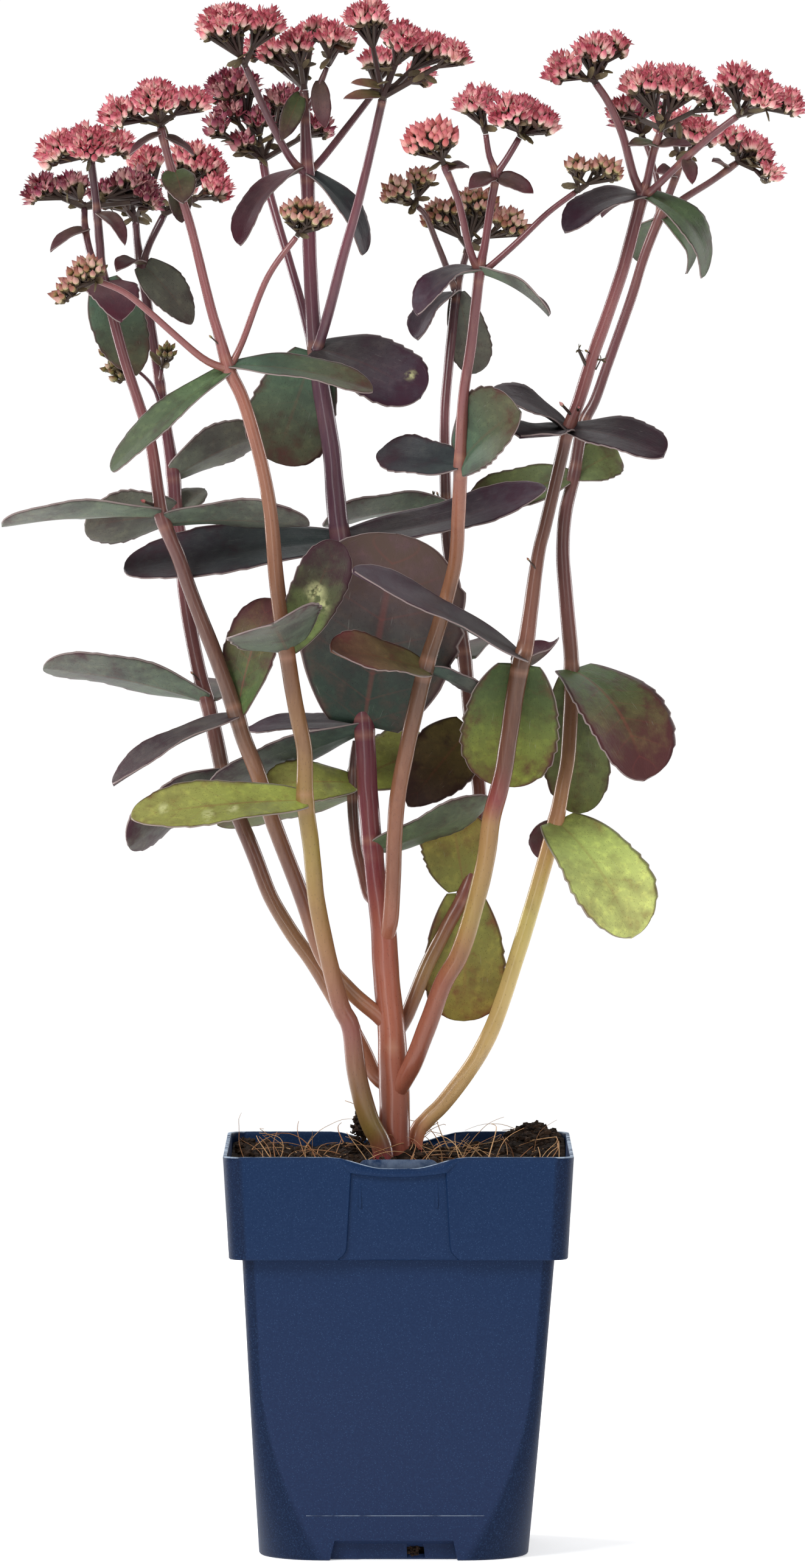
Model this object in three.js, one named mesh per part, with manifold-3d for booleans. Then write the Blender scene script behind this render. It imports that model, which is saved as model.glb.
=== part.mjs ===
// Potted stonecrop: a square moulded nursery pot, its soil, nine leafy stems and their flower heads.
// Millimetres, +Z up, the front of the pot towards -Y, the origin under the middle of the pot.
import * as THREE from "three";
import { mergeVertices } from "three/addons/utils/BufferGeometryUtils.js";
import { ConvexGeometry } from "three/addons/geometries/ConvexGeometry.js";
import Module from "manifold-3d";

const wasm = await Module();
wasm.setup();

// Driving dimensions of the pot
const POT_HEIGHT = 128;
const RIM_WIDTH = 110;
const COLLAR_FOOT_WIDTH = 106.3;
const COLLAR_HEIGHT = 32.5;
const BODY_TOP_WIDTH = 98;
const BODY_FOOT_WIDTH = 85;
const WALL = 1.3;
const FLOOR = 1.6;
const COLLAR_CORNER = 6;
const BODY_CORNER = 4;
const FOOT_CORNER = 23;
const CORNER_GROWS_BELOW = 60;
const CORNER_STEPS = 3;
const BODY_LEVELS = [0, 12, 28, 56];
const DIP_WIDTH = 43;
const DIP_DEPTH = 3.5;
const PANEL_TOP_WIDTH = 29.6;
const PANEL_FOOT_WIDTH = 32.8;
const PANEL_CORNER = 4;
const PANEL_DEPTH = 0.9;
const PANEL_TOP_BELOW_RIM = 5.6;
const LIP_HEIGHT = 2.5;
const LIP_STANDS_OUT = 0.8;
const TAB_WIDTH = 25;
const TAB_BELOW_RIM = 1;
const TAB_HEIGHT = 15;
const TAB_GAP = 1;
const TAB_THICK = 1;
const NOTCH_TOP_WIDTH = 37;
const NOTCH_FOOT_WIDTH = 40;
const NOTCH_HEIGHT = 6.3;
const NOTCH_DEPTH = 4;
const DRAIN = { from: 3, width: 5.2, height: 4.6, above: 0.9 };

// Driving dimensions of the soil
const SOIL_LEVEL = 121.5;
const SOIL_CELLS = 6;
const SOIL_ROUGH = 2.2;
const SOIL_MOUND = { x: 44, y: 44, reach: 16, height: 7 };
const GAP = 0.3;

// Driving dimensions of the plant
const STEM_SIDES = 5;
const TRUNK_SIDES = 7;
const BRANCH_SIDES = 4;
const BLADE_THICK = 1.5;
const MARGIN_THICK = 0.7;
const LEAF_CELLS = { broad: [6, 4], long: [5, 2], small: [3, 1] };
const LEAF_STALK = 0.16;
const LEAF_WIDEST = 0.64;
const LEAF_TIP = 0.16;
const TOOTH_DEPTH = 0.07;
const FLORET_AREA = 13;
const DOME_WIDTH = 0.98;
const DOME_HEIGHT = 0.6;
const DOME_DROP = 0.25;
const FLORET_LENGTH = { rose: 3.6, dusky: 3.4, rosebud: 3, bud: 2.6, green: 1.6 };
const SEED = 20;
const CRUMB = 0.5;

const STEMS = {
  main_stem: [
    {
      head: "head_crown_middle",
      route: [
        [-1, 0, 102, 10.4], [-1, 0, 140, 9.8], [-5, 0, 196, 8.2], [-7, 1, 214, 6.6],
        [-11, 2, 260, 6.6], [-14, 5, 290, 6.8], [-26, 6, 380, 5.4], [-30, 6, 462, 2.8],
      ],
    },
    {
      head: "head_crown_left",
      route: [
        [-29, 6, 436, 2.9], [-34, 2, 440, 2.6], [-42, -4, 454, 2.4], [-48, -8, 469, 2.1],
      ],
    },
    {
      head: "head_crown_back",
      route: [
        [-29, 6, 436, 2.7], [-8, 24, 461, 2],
      ],
    },
    {
      head: "head_back_left",
      route: [
        [-26, 8, 377, 3.4], [-41, 38, 427, 2.8], [-43, 42, 440, 2.8],
      ],
    },
    {
      head: "head_crown_right",
      route: [
        [-26, 4, 380, 3.5], [-17, -6, 410, 3.3], [-12, -10, 427, 3], [-5, -14, 459, 2.7],
      ],
    },
    {
      head: "head_crown_small",
      route: [
        [-30, 6, 455, 2], [-23, 6, 469, 1.7],
      ],
    },
  ],
  stem_front_left: [
    {
      head: "head_left_upper",
      route: [
        [-4, -9, 107, 6.6], [-5, -9, 126, 6.6], [-9, -10, 137, 6.4], [-13, -11, 150, 6.4],
        [-15, -12, 166, 6.2], [-18, -13, 173, 5.8], [-26, -17, 206, 5.5], [-29, -22, 238, 5.5],
        [-30, -24, 254, 5.2], [-35, -30, 285, 5.1], [-38, -32, 304, 5], [-40, -33, 331, 4.5],
        [-44, -33, 349, 4.2], [-49, -33, 365, 4.2], [-53, -33, 374, 4.1], [-66, -35, 420, 2.8],
        [-74, -38, 450, 2.3],
      ],
    },
    {
      head: "head_bud_left",
      route: [
        [-53, -33, 374, 2.6], [-62, -37, 378, 2.3], [-78, -44, 392, 2.1], [-86, -46, 398, 2],
        [-94, -47, 402, 1.9],
      ],
    },
    {
      head: "head_bud_middle",
      route: [
        [-53, -33, 374, 2.4], [-49, -32, 382, 2.1], [-41, -32, 402, 2], [-32, -32, 415, 1.8],
      ],
    },
  ],
  stem_left_back: [
    {
      head: "head_left_far",
      route: [
        [-2, 2, 146, 5], [-7, 5, 149, 5], [-25, 13, 182, 5], [-41, 18, 206, 5], [-56, 23, 244, 5],
        [-68, 28, 301, 4.5], [-72, 32, 340, 4.5], [-76, 36, 369, 3.3], [-82, 42, 406, 3.2],
        [-84, 50, 420, 2.3],
      ],
    },
    {
      head: "head_left_inner",
      route: [
        [-82, 42, 406, 2.7], [-80, 42, 414, 2.4], [-75, 44, 422, 2.3],
      ],
    },
    {
      head: "buds_green_left",
      route: [
        [-75, 34, 357, 1.5], [-78, 28, 367, 1.3], [-82, 22, 372, 1.1], [-86, 19, 374, 1.1],
      ],
    },
    {
      head: "buds_green_right",
      route: [
        [-76, 36, 369, 1.5], [-76, 32, 374, 1.2],
      ],
    },
  ],
  stem_left_front: [
    {
      head: "head_left_front",
      route: [
        [-2, 0, 164, 5], [-15, -3, 177, 5], [-24, -5, 188, 5], [-55, -11, 277, 5],
        [-74, -14, 327, 4.6], [-78, -14, 351, 3.6], [-87, -13, 379, 3.4], [-93, -11, 402, 3.2],
        [-97, -16, 439, 2.5],
      ],
    },
    {
      head: "head_left_behind",
      route: [
        [-93, -11, 402, 2.6], [-97, -4, 410, 2.4], [-100, 6, 424, 2.1],
      ],
    },
  ],
  stem_centre: [
    {
      head: "head_centre_left",
      route: [
        [-4, -1, 193, 5], [-2, -5, 200, 5.2], [0, -14, 240, 5.2], [4, -18, 258, 5.3],
        [12, -22, 291, 4.9], [18, -27, 314, 4.5], [20, -40, 344, 4.4], [20, -46, 364, 3.4],
        [23, -50, 382, 3.4], [25, -55, 404, 3.2], [30, -58, 435, 2.5], [27, -58, 447, 1.8],
      ],
    },
    {
      head: "head_centre_right",
      route: [
        [30, -58, 435, 2.3], [38, -58, 446, 2],
      ],
    },
    {
      head: "head_bud_rose",
      route: [
        [25, -55, 404, 2.7], [22, -57, 411, 2.4], [19, -60, 427, 2.3], [14, -62, 438, 2.1],
      ],
    },
    {
      head: "head_bud_right",
      route: [
        [25, -55, 404, 2.4], [55, -52, 429, 1.8],
      ],
    },
  ],
  stem_centre_back: [
    {
      head: "head_centre_back",
      route: [
        [-1, 3, 162, 4.4], [2, 6, 168, 4.6], [9, 9, 183, 4.6], [21, 14, 208, 4.6],
        [25, 16, 220, 4.5], [26, 19, 233, 4.4], [21, 30, 283, 4.4], [16, 36, 318, 4],
        [15, 41, 345, 3.4], [15, 45, 360, 3.1], [19, 57, 398, 3], [22, 62, 411, 2.2],
      ],
    },
    {
      head: "head_bud_green",
      route: [
        [19, 57, 398, 2.4], [13, 54, 413, 2], [9, 49, 422, 1.8], [6, 47, 426, 1.8],
      ],
    },
  ],
  stem_right_front: [
    {
      head: "head_right_middle",
      route: [
        [-1, -1, 143, 5.6], [5, -6, 156, 6], [14, -10, 180, 6], [19, -11, 188, 6],
        [23, -13, 202, 5.9], [34, -18, 250, 5.8], [39, -22, 282, 5.8], [44, -23, 314, 4.2],
        [53, -25, 355, 4.1], [71, -28, 407, 3.9], [77, -28, 429, 3.9], [82, -31, 448, 2.3],
      ],
    },
    {
      head: "head_right_left",
      route: [
        [77, -28, 429, 3], [74, -30, 434, 2.7], [70, -33, 447, 2.6], [66, -35, 457, 2.4],
        [62, -37, 463, 2.3],
      ],
    },
    {
      head: "head_right_outer",
      route: [
        [77, -28, 429, 2.7], [79, -30, 430, 2.4], [89, -36, 439, 2.3], [106, -42, 453, 2.1],
      ],
    },
  ],
  stem_right_back: [
    {
      head: "head_far_right_upper",
      route: [
        [4, 6, 107, 5.4], [5, 6, 129, 5.4], [9, 7, 135, 5.3], [21, 8, 148, 5.3], [26, 8, 157, 5.3],
        [31, 9, 168, 5.2], [50, 11, 230, 5.1], [54, 13, 253, 4.9], [55, 15, 278, 4.9],
        [52, 18, 315, 4.4], [53, 19, 328, 4.3], [59, 22, 356, 3.9], [63, 23, 364, 3.4],
        [83, 27, 422, 3.2], [90, 27, 438, 2.3],
      ],
    },
    {
      head: "head_far_right_outer",
      route: [
        [83, 27, 422, 2.4], [108, 33, 439, 2.1],
      ],
    },
    {
      head: "head_far_right_back",
      route: [
        [83, 27, 422, 2.1], [83, 30, 432, 2], [78, 35, 447, 1.8],
      ],
    },
  ],
  stem_short_back: [
    {
      head: null,
      route: [
        [-6, 4, 205, 3], [-10, 8, 206, 3.4], [-12, 11, 215, 3.4], [-14, 13, 233, 3.6],
        [-14, 16, 255, 1.6],
      ],
    },
  ],
};
const LEAVES = {
  main_stem: [
    [[-18, 5, 319], [-87, 2, 310], 27, [0, -0.55, 0.83], 1.5, 2, "long"],
    [[-18, 5, 320], [47, 4, 336], 22, [0.1, -0.45, 0.88], -3, 2, "long"],
    [[-11, 2, 261], [0, -16, 322], 54, [-0.05, -1, 0.1], 4, 2, "broad"],
    [[-11, 2, 260], [-60, 8, 240], 20, [-0.1, 0.5, 0.85], 1, 1, "long"],
    [[-11, 2, 261], [-48, 26, 259], 14, [0, -0.45, 0.9], 1, 1, "long"],
    [[-8, 1, 222], [29, 0, 238], 19, [0, 0.5, 0.86], -2, 1, "long"],
    [[-26, 4, 380], [7, -14, 365], 28, [0.2, -0.75, 0.62], 3, 1, "broad"],
    [[-27, 9, 379], [-39, 18, 344], 29, [0, -1, 0.1], 2, 1, "broad"],
    [[-31, 5, 437], [-50, -12, 413], 13, [-0.55, -0.5, 0.65], 4.5, 2, "long"],
    [[-29, 6, 436], [-11, 4, 410], 13, [0.55, -0.5, 0.65], 4, 2, "long"],
    [[-30, 6, 459], [-37, -4, 448], 8, [0.1, -0.95, 0.2], 1, 1, "small"],
    [[-25, 6, 465], [-23, 0, 450], 6.5, [-0.2, -0.9, 0.3], 1, 1, "small"],
    [[-6, -13, 453], [-15, -16, 464], 3, [0, -0.3, 0.95], 0.5, 0.5, "small"],
    [[-7, -13, 452], [-18, -18, 459], 4, [0, -0.3, 0.95], 1, 0.5, "small"],
  ],
  stem_front_left: [
    [[-53, -33, 374], [-90, -30, 342], 14, [-0.4, -0.6, 0.7], 2, 1.5, "long"],
    [[-53, -33, 375], [-8, -36, 367], 15, [0.1, -0.5, 0.86], 2.5, 2, "long"],
    [[-35, -30, 286], [-39, -68, 295], 32, [-0.34, 0.3, 0.89], 1, 3, "long"],
    [[-35, -30, 286], [-19, -26, 320], 20, [0.3, -0.9, 0.3], 2, 2, "long"],
    [[-29, -22, 238], [-84, -32, 233], 22, [0, -0.6, 0.8], 1.5, 2, "long"],
    [[-70, -37, 436], [-67, -47, 426], 11, [0.1, -0.9, 0.4], 1, 1, "small"],
    [[-70, -37, 436], [-68, -30, 420], 8, [0.2, -0.9, 0.2], 1, 1, "small"],
    [[-74, -38, 448], [-84, -42, 441], 4, [-0.4, -0.5, 0.7], 1, 0.5, "small"],
    [[-74, -38, 447], [-64, -34, 441], 4.5, [0.5, -0.5, 0.7], 1, 0.5, "small"],
  ],
  stem_left_back: [
    [[-61, 25, 268], [-113, 16, 279], 23, [0, 0.45, 0.88], 2, 2, "long"],
    [[-61, 25, 268], [-51, 66, 272], 20, [0, -0.2, 0.97], 1.5, 2, "long"],
    [[-71, 31, 328], [-100, 22, 324], 23, [0, 0.75, 0.65], 0.5, 1, "long"],
    [[-71, 31, 328], [-62, 40, 335], 10, [0, -0.6, 0.8], 0.5, 1, "small"],
    [[-71, 31, 328], [-78, 80, 325], 20, [0, -0.2, 0.97], 1.5, 2, "long"],
    [[-72, 32, 340], [-43, 28, 354], 20, [0.1, 0.55, 0.8], 1, 2, "long"],
    [[-56, 23, 244], [-86, 14, 222], 24, [0, 0.6, 0.8], 1, 2, "long"],
    [[-82, 42, 407], [-66, 38, 388], 14, [0.35, -0.9, 0.2], 2, 1, "long"],
    [[-82, 42, 407], [-90, 32, 405], 9, [-0.2, -0.5, 0.8], 2, 1, "small"],
  ],
  stem_left_front: [
    [[-51, -10, 264], [-90, -20, 243], 17, [-0.35, -0.3, 0.88], 2.5, 2, "long"],
    [[-51, -10, 265], [-40, 2, 301], 19, [-0.3, -0.85, 0.4], 3, 2, "long"],
    [[-75, -14, 328], [-125, -20, 325], 24, [0, 0.25, 0.97], 1.5, 2, "long"],
    [[-74, -14, 326], [-28, -14, 325], 20, [0, 0.45, 0.9], 1.5, 2, "long"],
    [[-93, -11, 401], [-87, -28, 389], 17, [0.25, -0.9, 0.3], 2, 2, "long"],
    [[-93, -11, 402], [-83, 6, 372], 18, [0, -1, 0.05], 2, 1, "long"],
    [[-98, 2, 418], [-110, -4, 411], 6, [-0.3, -0.5, 0.8], 1.5, 1, "small"],
    [[-95, -14, 423], [-86, -18, 413], 6, [0.4, -0.7, 0.5], 3, 1, "small"],
  ],
  stem_centre: [
    [[9, -21, 279], [-21, -42, 286], 20, [0.1, -0.6, 0.8], 1, 2, "long"],
    [[9, -21, 280], [26, -10, 271], 10, [0, 0.3, 0.95], 0.5, 1, "long"],
    [[20, -40, 344], [35, -60, 361], 28, [0.2, -0.9, 0.3], 3, 2, "broad"],
    [[20, -40, 344], [-6, -24, 348], 17, [0, -0.75, 0.66], -1, 2, "long"],
    [[25, -55, 405], [6, -68, 391], 13, [-0.5, -0.55, 0.65], 4.5, 2, "long"],
    [[25, -55, 405], [47, -62, 391], 12, [0.5, 0.1, 0.86], 2, 2, "long"],
    [[15, -62, 436], [22, -60, 437], 5, [0.2, -0.4, 0.9], 1, 0.5, "small"],
    [[30, -58, 434], [22, -64, 430], 7, [-0.4, -0.8, 0.4], 1, 1, "small"],
    [[30, -58, 434], [42, -60, 429], 6.5, [0.4, -0.8, 0.4], 1, 1, "small"],
  ],
  stem_centre_back: [
    [[15, 38, 330], [-24, 26, 324], 20, [0, 0.45, 0.9], 1.5, 2, "long"],
    [[15, 38, 330], [29, 76, 325], 20, [0, -0.2, 0.97], 1.5, 2, "long"],
    [[21, 14, 207], [21, 18, 166], 27, [0.05, -1, 0.1], 3, 1, "broad"],
    [[21, 14, 208], [17, 14, 232], 24, [0, -1, 0.15], 1, 1, "broad"],
    [[23, 25, 259], [3, 11, 235], 23, [0.1, -0.9, 0.4], 2, 2, "long"],
    [[21, 30, 281], [17, 78, 284], 22, [0, -0.2, 0.97], 1.5, 2, "long"],
    [[19, 57, 398], [6, 46, 383], 13, [-0.6, -0.5, 0.6], 3, 2, "long"],
    [[19, 57, 398], [25, 60, 372], 14, [0.1, -1, 0.1], 2, 1, "long"],
  ],
  stem_right_front: [
    [[39, -22, 283], [-14, -58, 311], 24, [-0.1, -0.5, 0.86], 1, 2, "long"],
    [[38, -22, 281], [33, -6, 242], 32, [0, -1, 0.05], -4, 1, "broad"],
    [[38, -22, 281], [48, -4, 287], 14, [-0.3, -0.3, 0.9], -2, 4, "long"],
    [[53, -25, 355], [29, -34, 366], 20, [0, -0.4, 0.9], 2, 2, "long"],
    [[53, -25, 355], [83, -44, 347], 21, [0.15, -0.55, 0.8], 2, 2, "long"],
    [[53, -25, 355], [38, -46, 353], 18, [-0.2, -0.55, 0.8], 0, 2, "long"],
    [[77, -28, 428], [52, -40, 417], 15, [-0.4, -0.6, 0.7], 4, 2, "long"],
    [[77, -28, 429], [96, -20, 403], 15, [0.6, -0.6, 0.5], 7, 1.5, "long"],
    [[76, -28, 428], [64, -14, 422], 8, [-0.3, 0.2, 0.9], 1.5, 1, "small"],
    [[81, -30, 444], [72, -36, 444], 6, [-0.3, -0.6, 0.7], 1, 0.5, "small"],
    [[81, -30, 444], [92, -32, 444], 5, [0.4, -0.6, 0.7], 1, 0.5, "small"],
    [[90, -36, 440], [92, -42, 432], 5, [0.2, -0.9, 0.2], 1, 0.5, "small"],
  ],
  stem_right_back: [
    [[55, 15, 278], [78, -8, 244], 34, [0.5, -0.75, 0.45], 7, 3, "broad"],
    [[55, 15, 277], [58, 24, 232], 22, [0, -1, 0.05], -2, 1, "long"],
    [[50, 11, 230], [74, -6, 194], 27, [0.4, -0.8, 0.45], 5, 3, "broad"],
    [[50, 11, 230], [45, 20, 218], 12, [0, -1, 0], 1, 1, "small"],
    [[55, 20, 339], [21, 30, 328], 20, [0, -0.7, 0.7], 1, 2, "long"],
    [[56, 20, 340], [70, 32, 347], 15, [0.1, -0.9, 0.3], 1, 1, "long"],
    [[59, 22, 355], [65, 64, 352], 18, [0, -0.2, 0.97], 1.5, 2, "long"],
    [[84, 27, 422], [92, 34, 404], 10, [0.6, -0.6, 0.5], 5, 1, "small"],
    [[83, 27, 422], [77, 48, 408], 12, [-0.5, 0.5, 0.7], 2, 1, "small"],
    [[88, 27, 435], [82, 20, 436], 6, [-0.3, -0.8, 0.4], 1, 1, "small"],
    [[105, 32, 438], [100, 28, 440], 5, [0, -0.4, 0.9], 0.5, 0.5, "small"],
  ],
  stem_short_back: [
    [[-14, 14, 243], [13, 36, 252], 24, [0, -0.85, 0.5], 2, 1, "long"],
    [[-14, 14, 242], [-42, -2, 242], 17, [0, -0.8, 0.6], 1, 1, "long"],
    [[-14, 14, 239], [-58, 38, 228], 18, [0, 0.6, 0.8], 1, 1, "long"],
  ],
};
const HEADS = {
  head_crown_left: ["rose", [[-55, -10, 484, 9.5], [-42, -8, 484, 7.3]]],
  head_crown_middle: ["rose", [[-40, 12, 475, 5.4], [-32, 4, 478, 6], [-34, 26, 474, 5.4]]],
  head_crown_small: ["rose", [[-21, 2, 480, 5.8], [-18, 18, 478, 4.6]]],
  head_crown_right: ["rose", [
    [-10, -14, 486, 8.1], [2, -22, 478, 6.9], [11, -10, 476, 7.7], [18, -20, 473, 5.4],
    [1, 2, 480, 6.6],
  ]],
  head_crown_back: ["rose", [[-6, 30, 473, 6.9], [7, 30, 468, 5]]],
  head_back_left: ["dusky", [
    [-53, 44, 465, 9.3], [-58, 36, 451, 4.6], [-36, 54, 460, 8.5], [-25, 48, 452, 5.4],
    [-50, 38, 446, 3.9],
  ]],
  head_left_upper: ["rose", [
    [-88, -42, 455, 6.9], [-76, -46, 460, 8.1], [-64, -34, 459, 6.2], [-75, -24, 460, 6.6],
  ]],
  head_left_front: ["rose", [
    [-108, -18, 444, 7.7], [-97, -26, 446, 8.5], [-88, -10, 446, 6.2], [-100, 0, 446, 6.6],
  ]],
  head_left_behind: ["dusky", [
    [-114, 4, 432, 6.6], [-104, 16, 433, 6.6], [-83, 14, 433, 8.5], [-93, 26, 430, 6.6],
    [-79, 6, 428, 4.6],
  ]],
  head_left_inner: ["rose", [
    [-81, 38, 441, 6.9], [-64, 46, 441, 10], [-58, 40, 432, 5.8], [-70, 66, 435, 6.9],
  ]],
  head_left_far: ["dusky", [[-91, 60, 430, 6.9], [-82, 72, 430, 6.9], [-88, 84, 434, 6.6]]],
  head_bud_left: ["bud", [[-100, -48, 405, 6.6]]],
  head_bud_middle: ["bud", [[-29, -32, 423, 8.5]]],
  buds_green_left: ["green", [[-91, 18, 376, 3.9]]],
  buds_green_right: ["green", [[-74, 30, 379, 2.9]]],
  head_bud_rose: ["rosebud", [[10, -63, 447, 9.5]]],
  head_centre_left: ["rose", [[23, -58, 458, 6.2], [26, -46, 459, 5]]],
  head_centre_right: ["rose", [[34, -66, 455, 7.3], [43, -56, 453, 8.1], [38, -44, 456, 6.6]]],
  head_bud_right: ["bud", [[56, -54, 438, 4.6], [65, -50, 437, 5.8]]],
  head_bud_green: ["bud", [[-1, 44, 431, 5.8], [7, 48, 435, 5]]],
  head_centre_back: ["bud", [
    [14, 62, 424, 7.3], [25, 66, 427, 8.5], [36, 58, 421, 6.9], [24, 84, 424, 6.9],
  ]],
  head_right_left: ["rose", [[51, -42, 469, 6.9], [61, -38, 475, 6.9], [68, -30, 476, 5.4]]],
  head_right_middle: ["rose", [
    [77, -34, 465, 8.1], [89, -38, 464, 8.1], [99, -34, 459, 5.8], [70, -26, 456, 5],
    [85, -14, 466, 6.9],
  ]],
  head_right_outer: ["rose", [
    [105, -44, 466, 6.6], [114, -52, 461, 6.9], [122, -42, 458, 5.8], [112, -30, 464, 6.2],
  ]],
  head_far_right_upper: ["rose", [[86, 24, 453, 5.8], [97, 22, 450, 6.6], [92, 44, 453, 6.2]]],
  head_far_right_outer: ["rose", [
    [106, 30, 448, 5], [114, 36, 444, 6.9], [118, 30, 436, 3.9], [112, 54, 446, 5.8],
  ]],
  head_far_right_back: ["dusky", [[73, 34, 455, 6.2], [79, 52, 459, 6.2]]],
};

const UP = new THREE.Vector3(0, 0, 1);
const vec = (p) => new THREE.Vector3(p[0], p[1], p[2]);

// A seeded random number from 0 to 1 (mulberry32)
function seeded(seed) {
  let state = seed;
  return () => {
    state = (state + 0x6d2b79f5) | 0;
    let t = Math.imul(state ^ (state >>> 15), 1 | state);
    t = (t + Math.imul(t ^ (t >>> 7), 61 | t)) ^ t;
    return ((t ^ (t >>> 14)) >>> 0) / 4294967296;
  };
}

// A closed geometry as a solid that can be joined and cut
function solid(geometry) {
  const bare = geometry.clone();
  bare.deleteAttribute("normal");
  bare.deleteAttribute("uv");
  const merged = mergeVertices(bare, 1e-4);
  return new wasm.Manifold(
    new wasm.Mesh({
      numProp: 3,
      vertProperties: new Float32Array(merged.attributes.position.array),
      triVerts: new Uint32Array(merged.index.array),
    }),
  );
}

// The one body of a solid, as a geometry: a crumb left by a cut is dropped, more is an error
function geometryOf(body, name) {
  const pieces = body.decompose().sort((a, b) => b.volume() - a.volume());
  for (const crumb of pieces.slice(1)) {
    if (crumb.volume() > CRUMB) {
      const at = crumb.boundingBox().min.map(Math.round);
      throw new Error(`${name} has a loose piece of ${crumb.volume()} mm3 at ${at}`);
    }
  }
  const mesh = pieces[0].getMesh();
  const stride = mesh.numProp;
  const corners = new Float32Array(mesh.numVert * 3);
  for (let i = 0; i < mesh.numVert; i++) {
    corners.set(mesh.vertProperties.subarray(i * stride, i * stride + 3), i * 3);
  }
  const geometry = new THREE.BufferGeometry();
  geometry.setAttribute("position", new THREE.BufferAttribute(corners, 3));
  geometry.setIndex(new THREE.BufferAttribute(new Uint32Array(mesh.triVerts), 1));
  geometry.computeVertexNormals();
  return geometry;
}

const joined = (solids) => solids.reduce((whole, next) => whole.add(next));

// Moves every vertex of a geometry to where place puts it
function warp(geometry, place) {
  const points = geometry.attributes.position;
  const p = new THREE.Vector3();
  for (let i = 0; i < points.count; i++) {
    p.fromBufferAttribute(points, i);
    const to = place(p);
    points.setXYZ(i, to.x, to.y, to.z);
  }
  return geometry;
}

// The directions along a route, and a pair of cross directions that turn as little as they can
function frames(points) {
  const result = [];
  let side = null;
  points.forEach((point, i) => {
    const before = points[Math.max(i - 1, 0)];
    const after = points[Math.min(i + 1, points.length - 1)];
    const along = after.clone().sub(before).normalize();
    if (!side) side = new THREE.Vector3(1, 0.2, 0);
    side = side.clone().addScaledVector(along, -side.dot(along)).normalize();
    result.push({ point, along, side, other: side.clone().cross(along) });
  });
  return result;
}

// A round stem through points [x, y, z, diameter], wider by extra all round, its ends cut by trims
function stemTube(route, sides, extra = 0, trimStart = 0, trimEnd = 0) {
  const rings = frames(route.map(vec));
  const last = rings.length - 1;
  rings[0].point.addScaledVector(rings[0].along, trimStart);
  rings[last].point.addScaledVector(rings[last].along, -trimEnd);
  const tube = new THREE.CylinderGeometry(1, 1, 1, sides, last);
  warp(tube, (p) => {
    const i = Math.round((p.y + 0.5) * last);
    const radius = route[i][3] / 2 + extra;
    return rings[i].point
      .clone()
      .addScaledVector(rings[i].side, p.x * radius)
      .addScaledVector(rings[i].other, p.z * radius);
  });
  return solid(tube);
}

// Half the width of a leaf, as a share of its greatest, at a share u of its length
function leafOutline(u) {
  if (u > LEAF_WIDEST) {
    const past = (u - LEAF_WIDEST) / (1 - LEAF_WIDEST);
    return LEAF_TIP + (1 - LEAF_TIP) * Math.sqrt(Math.max(0, 1 - past ** 2.3));
  }
  const swell = Math.sin((Math.PI / 2) * (u / LEAF_WIDEST) ** 0.8);
  return LEAF_STALK + (1 - LEAF_STALK) * swell;
}

// Two like sheets and the wall that joins their rims. place(u, v, face) gives a point of a face
function closedBlade(cellsLong, cellsAcross, place) {
  const sheet = new THREE.PlaneGeometry(1, 2, cellsLong, cellsAcross);
  const grid = sheet.attributes.position;
  const points = [];
  for (const face of [1, -1]) {
    for (let i = 0; i < grid.count; i++) {
      const at = place(grid.getX(i) + 0.5, grid.getY(i), face);
      points.push(at.x, at.y, at.z);
    }
  }
  const index = Array.from(sheet.index.array);
  const under = grid.count;
  const turned = [];
  for (let i = 0; i < index.length; i += 3) {
    turned.push(index[i] + under, index[i + 2] + under, index[i + 1] + under);
  }
  const row = cellsLong + 1;
  const rim = [];
  for (let i = 0; i < cellsLong; i++) rim.push(i);
  for (let j = 0; j < cellsAcross; j++) rim.push(cellsLong + j * row);
  for (let i = cellsLong; i > 0; i--) rim.push(cellsAcross * row + i);
  for (let j = cellsAcross; j > 0; j--) rim.push(j * row);
  const wall = [];
  rim.forEach((a, i) => {
    const b = rim[(i + 1) % rim.length];
    wall.push(a, b, a + under, b, b + under, a + under);
  });
  const blade = new THREE.BufferGeometry();
  blade.setAttribute("position", new THREE.Float32BufferAttribute(points, 3));
  blade.setIndex([...index, ...turned, ...wall]);
  return blade;
}

// One leaf from its base to its tip: arched along, cupped across, toothed past its middle
function leafBlade([base, tip, width, face, arch, cup, kind]) {
  const start = vec(base);
  const reach = vec(tip).sub(start);
  const along = reach.clone().normalize();
  const upper = vec(face);
  upper.addScaledVector(along, -upper.dot(along)).normalize();
  const across = upper.clone().cross(along);
  const [cellsLong, cellsAcross] = LEAF_CELLS[kind];
  const place = (u, v, side) => {
    const edge = Math.abs(v);
    const tooth = Math.round(u * cellsLong) % 2 && edge === 1 ? 1 - TOOTH_DEPTH : 1;
    const half = (width / 2) * leafOutline(u) * tooth;
    const rise = arch * 4 * u * (1 - u) + cup * edge * edge * leafOutline(u);
    const thick = BLADE_THICK + (MARGIN_THICK - BLADE_THICK) * edge;
    return start
      .clone()
      .addScaledVector(reach, u)
      .addScaledVector(across, v * half)
      .addScaledVector(upper, rise + (side * thick) / 2);
  };
  return solid(closedBlade(cellsLong, cellsAcross, place));
}

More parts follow.
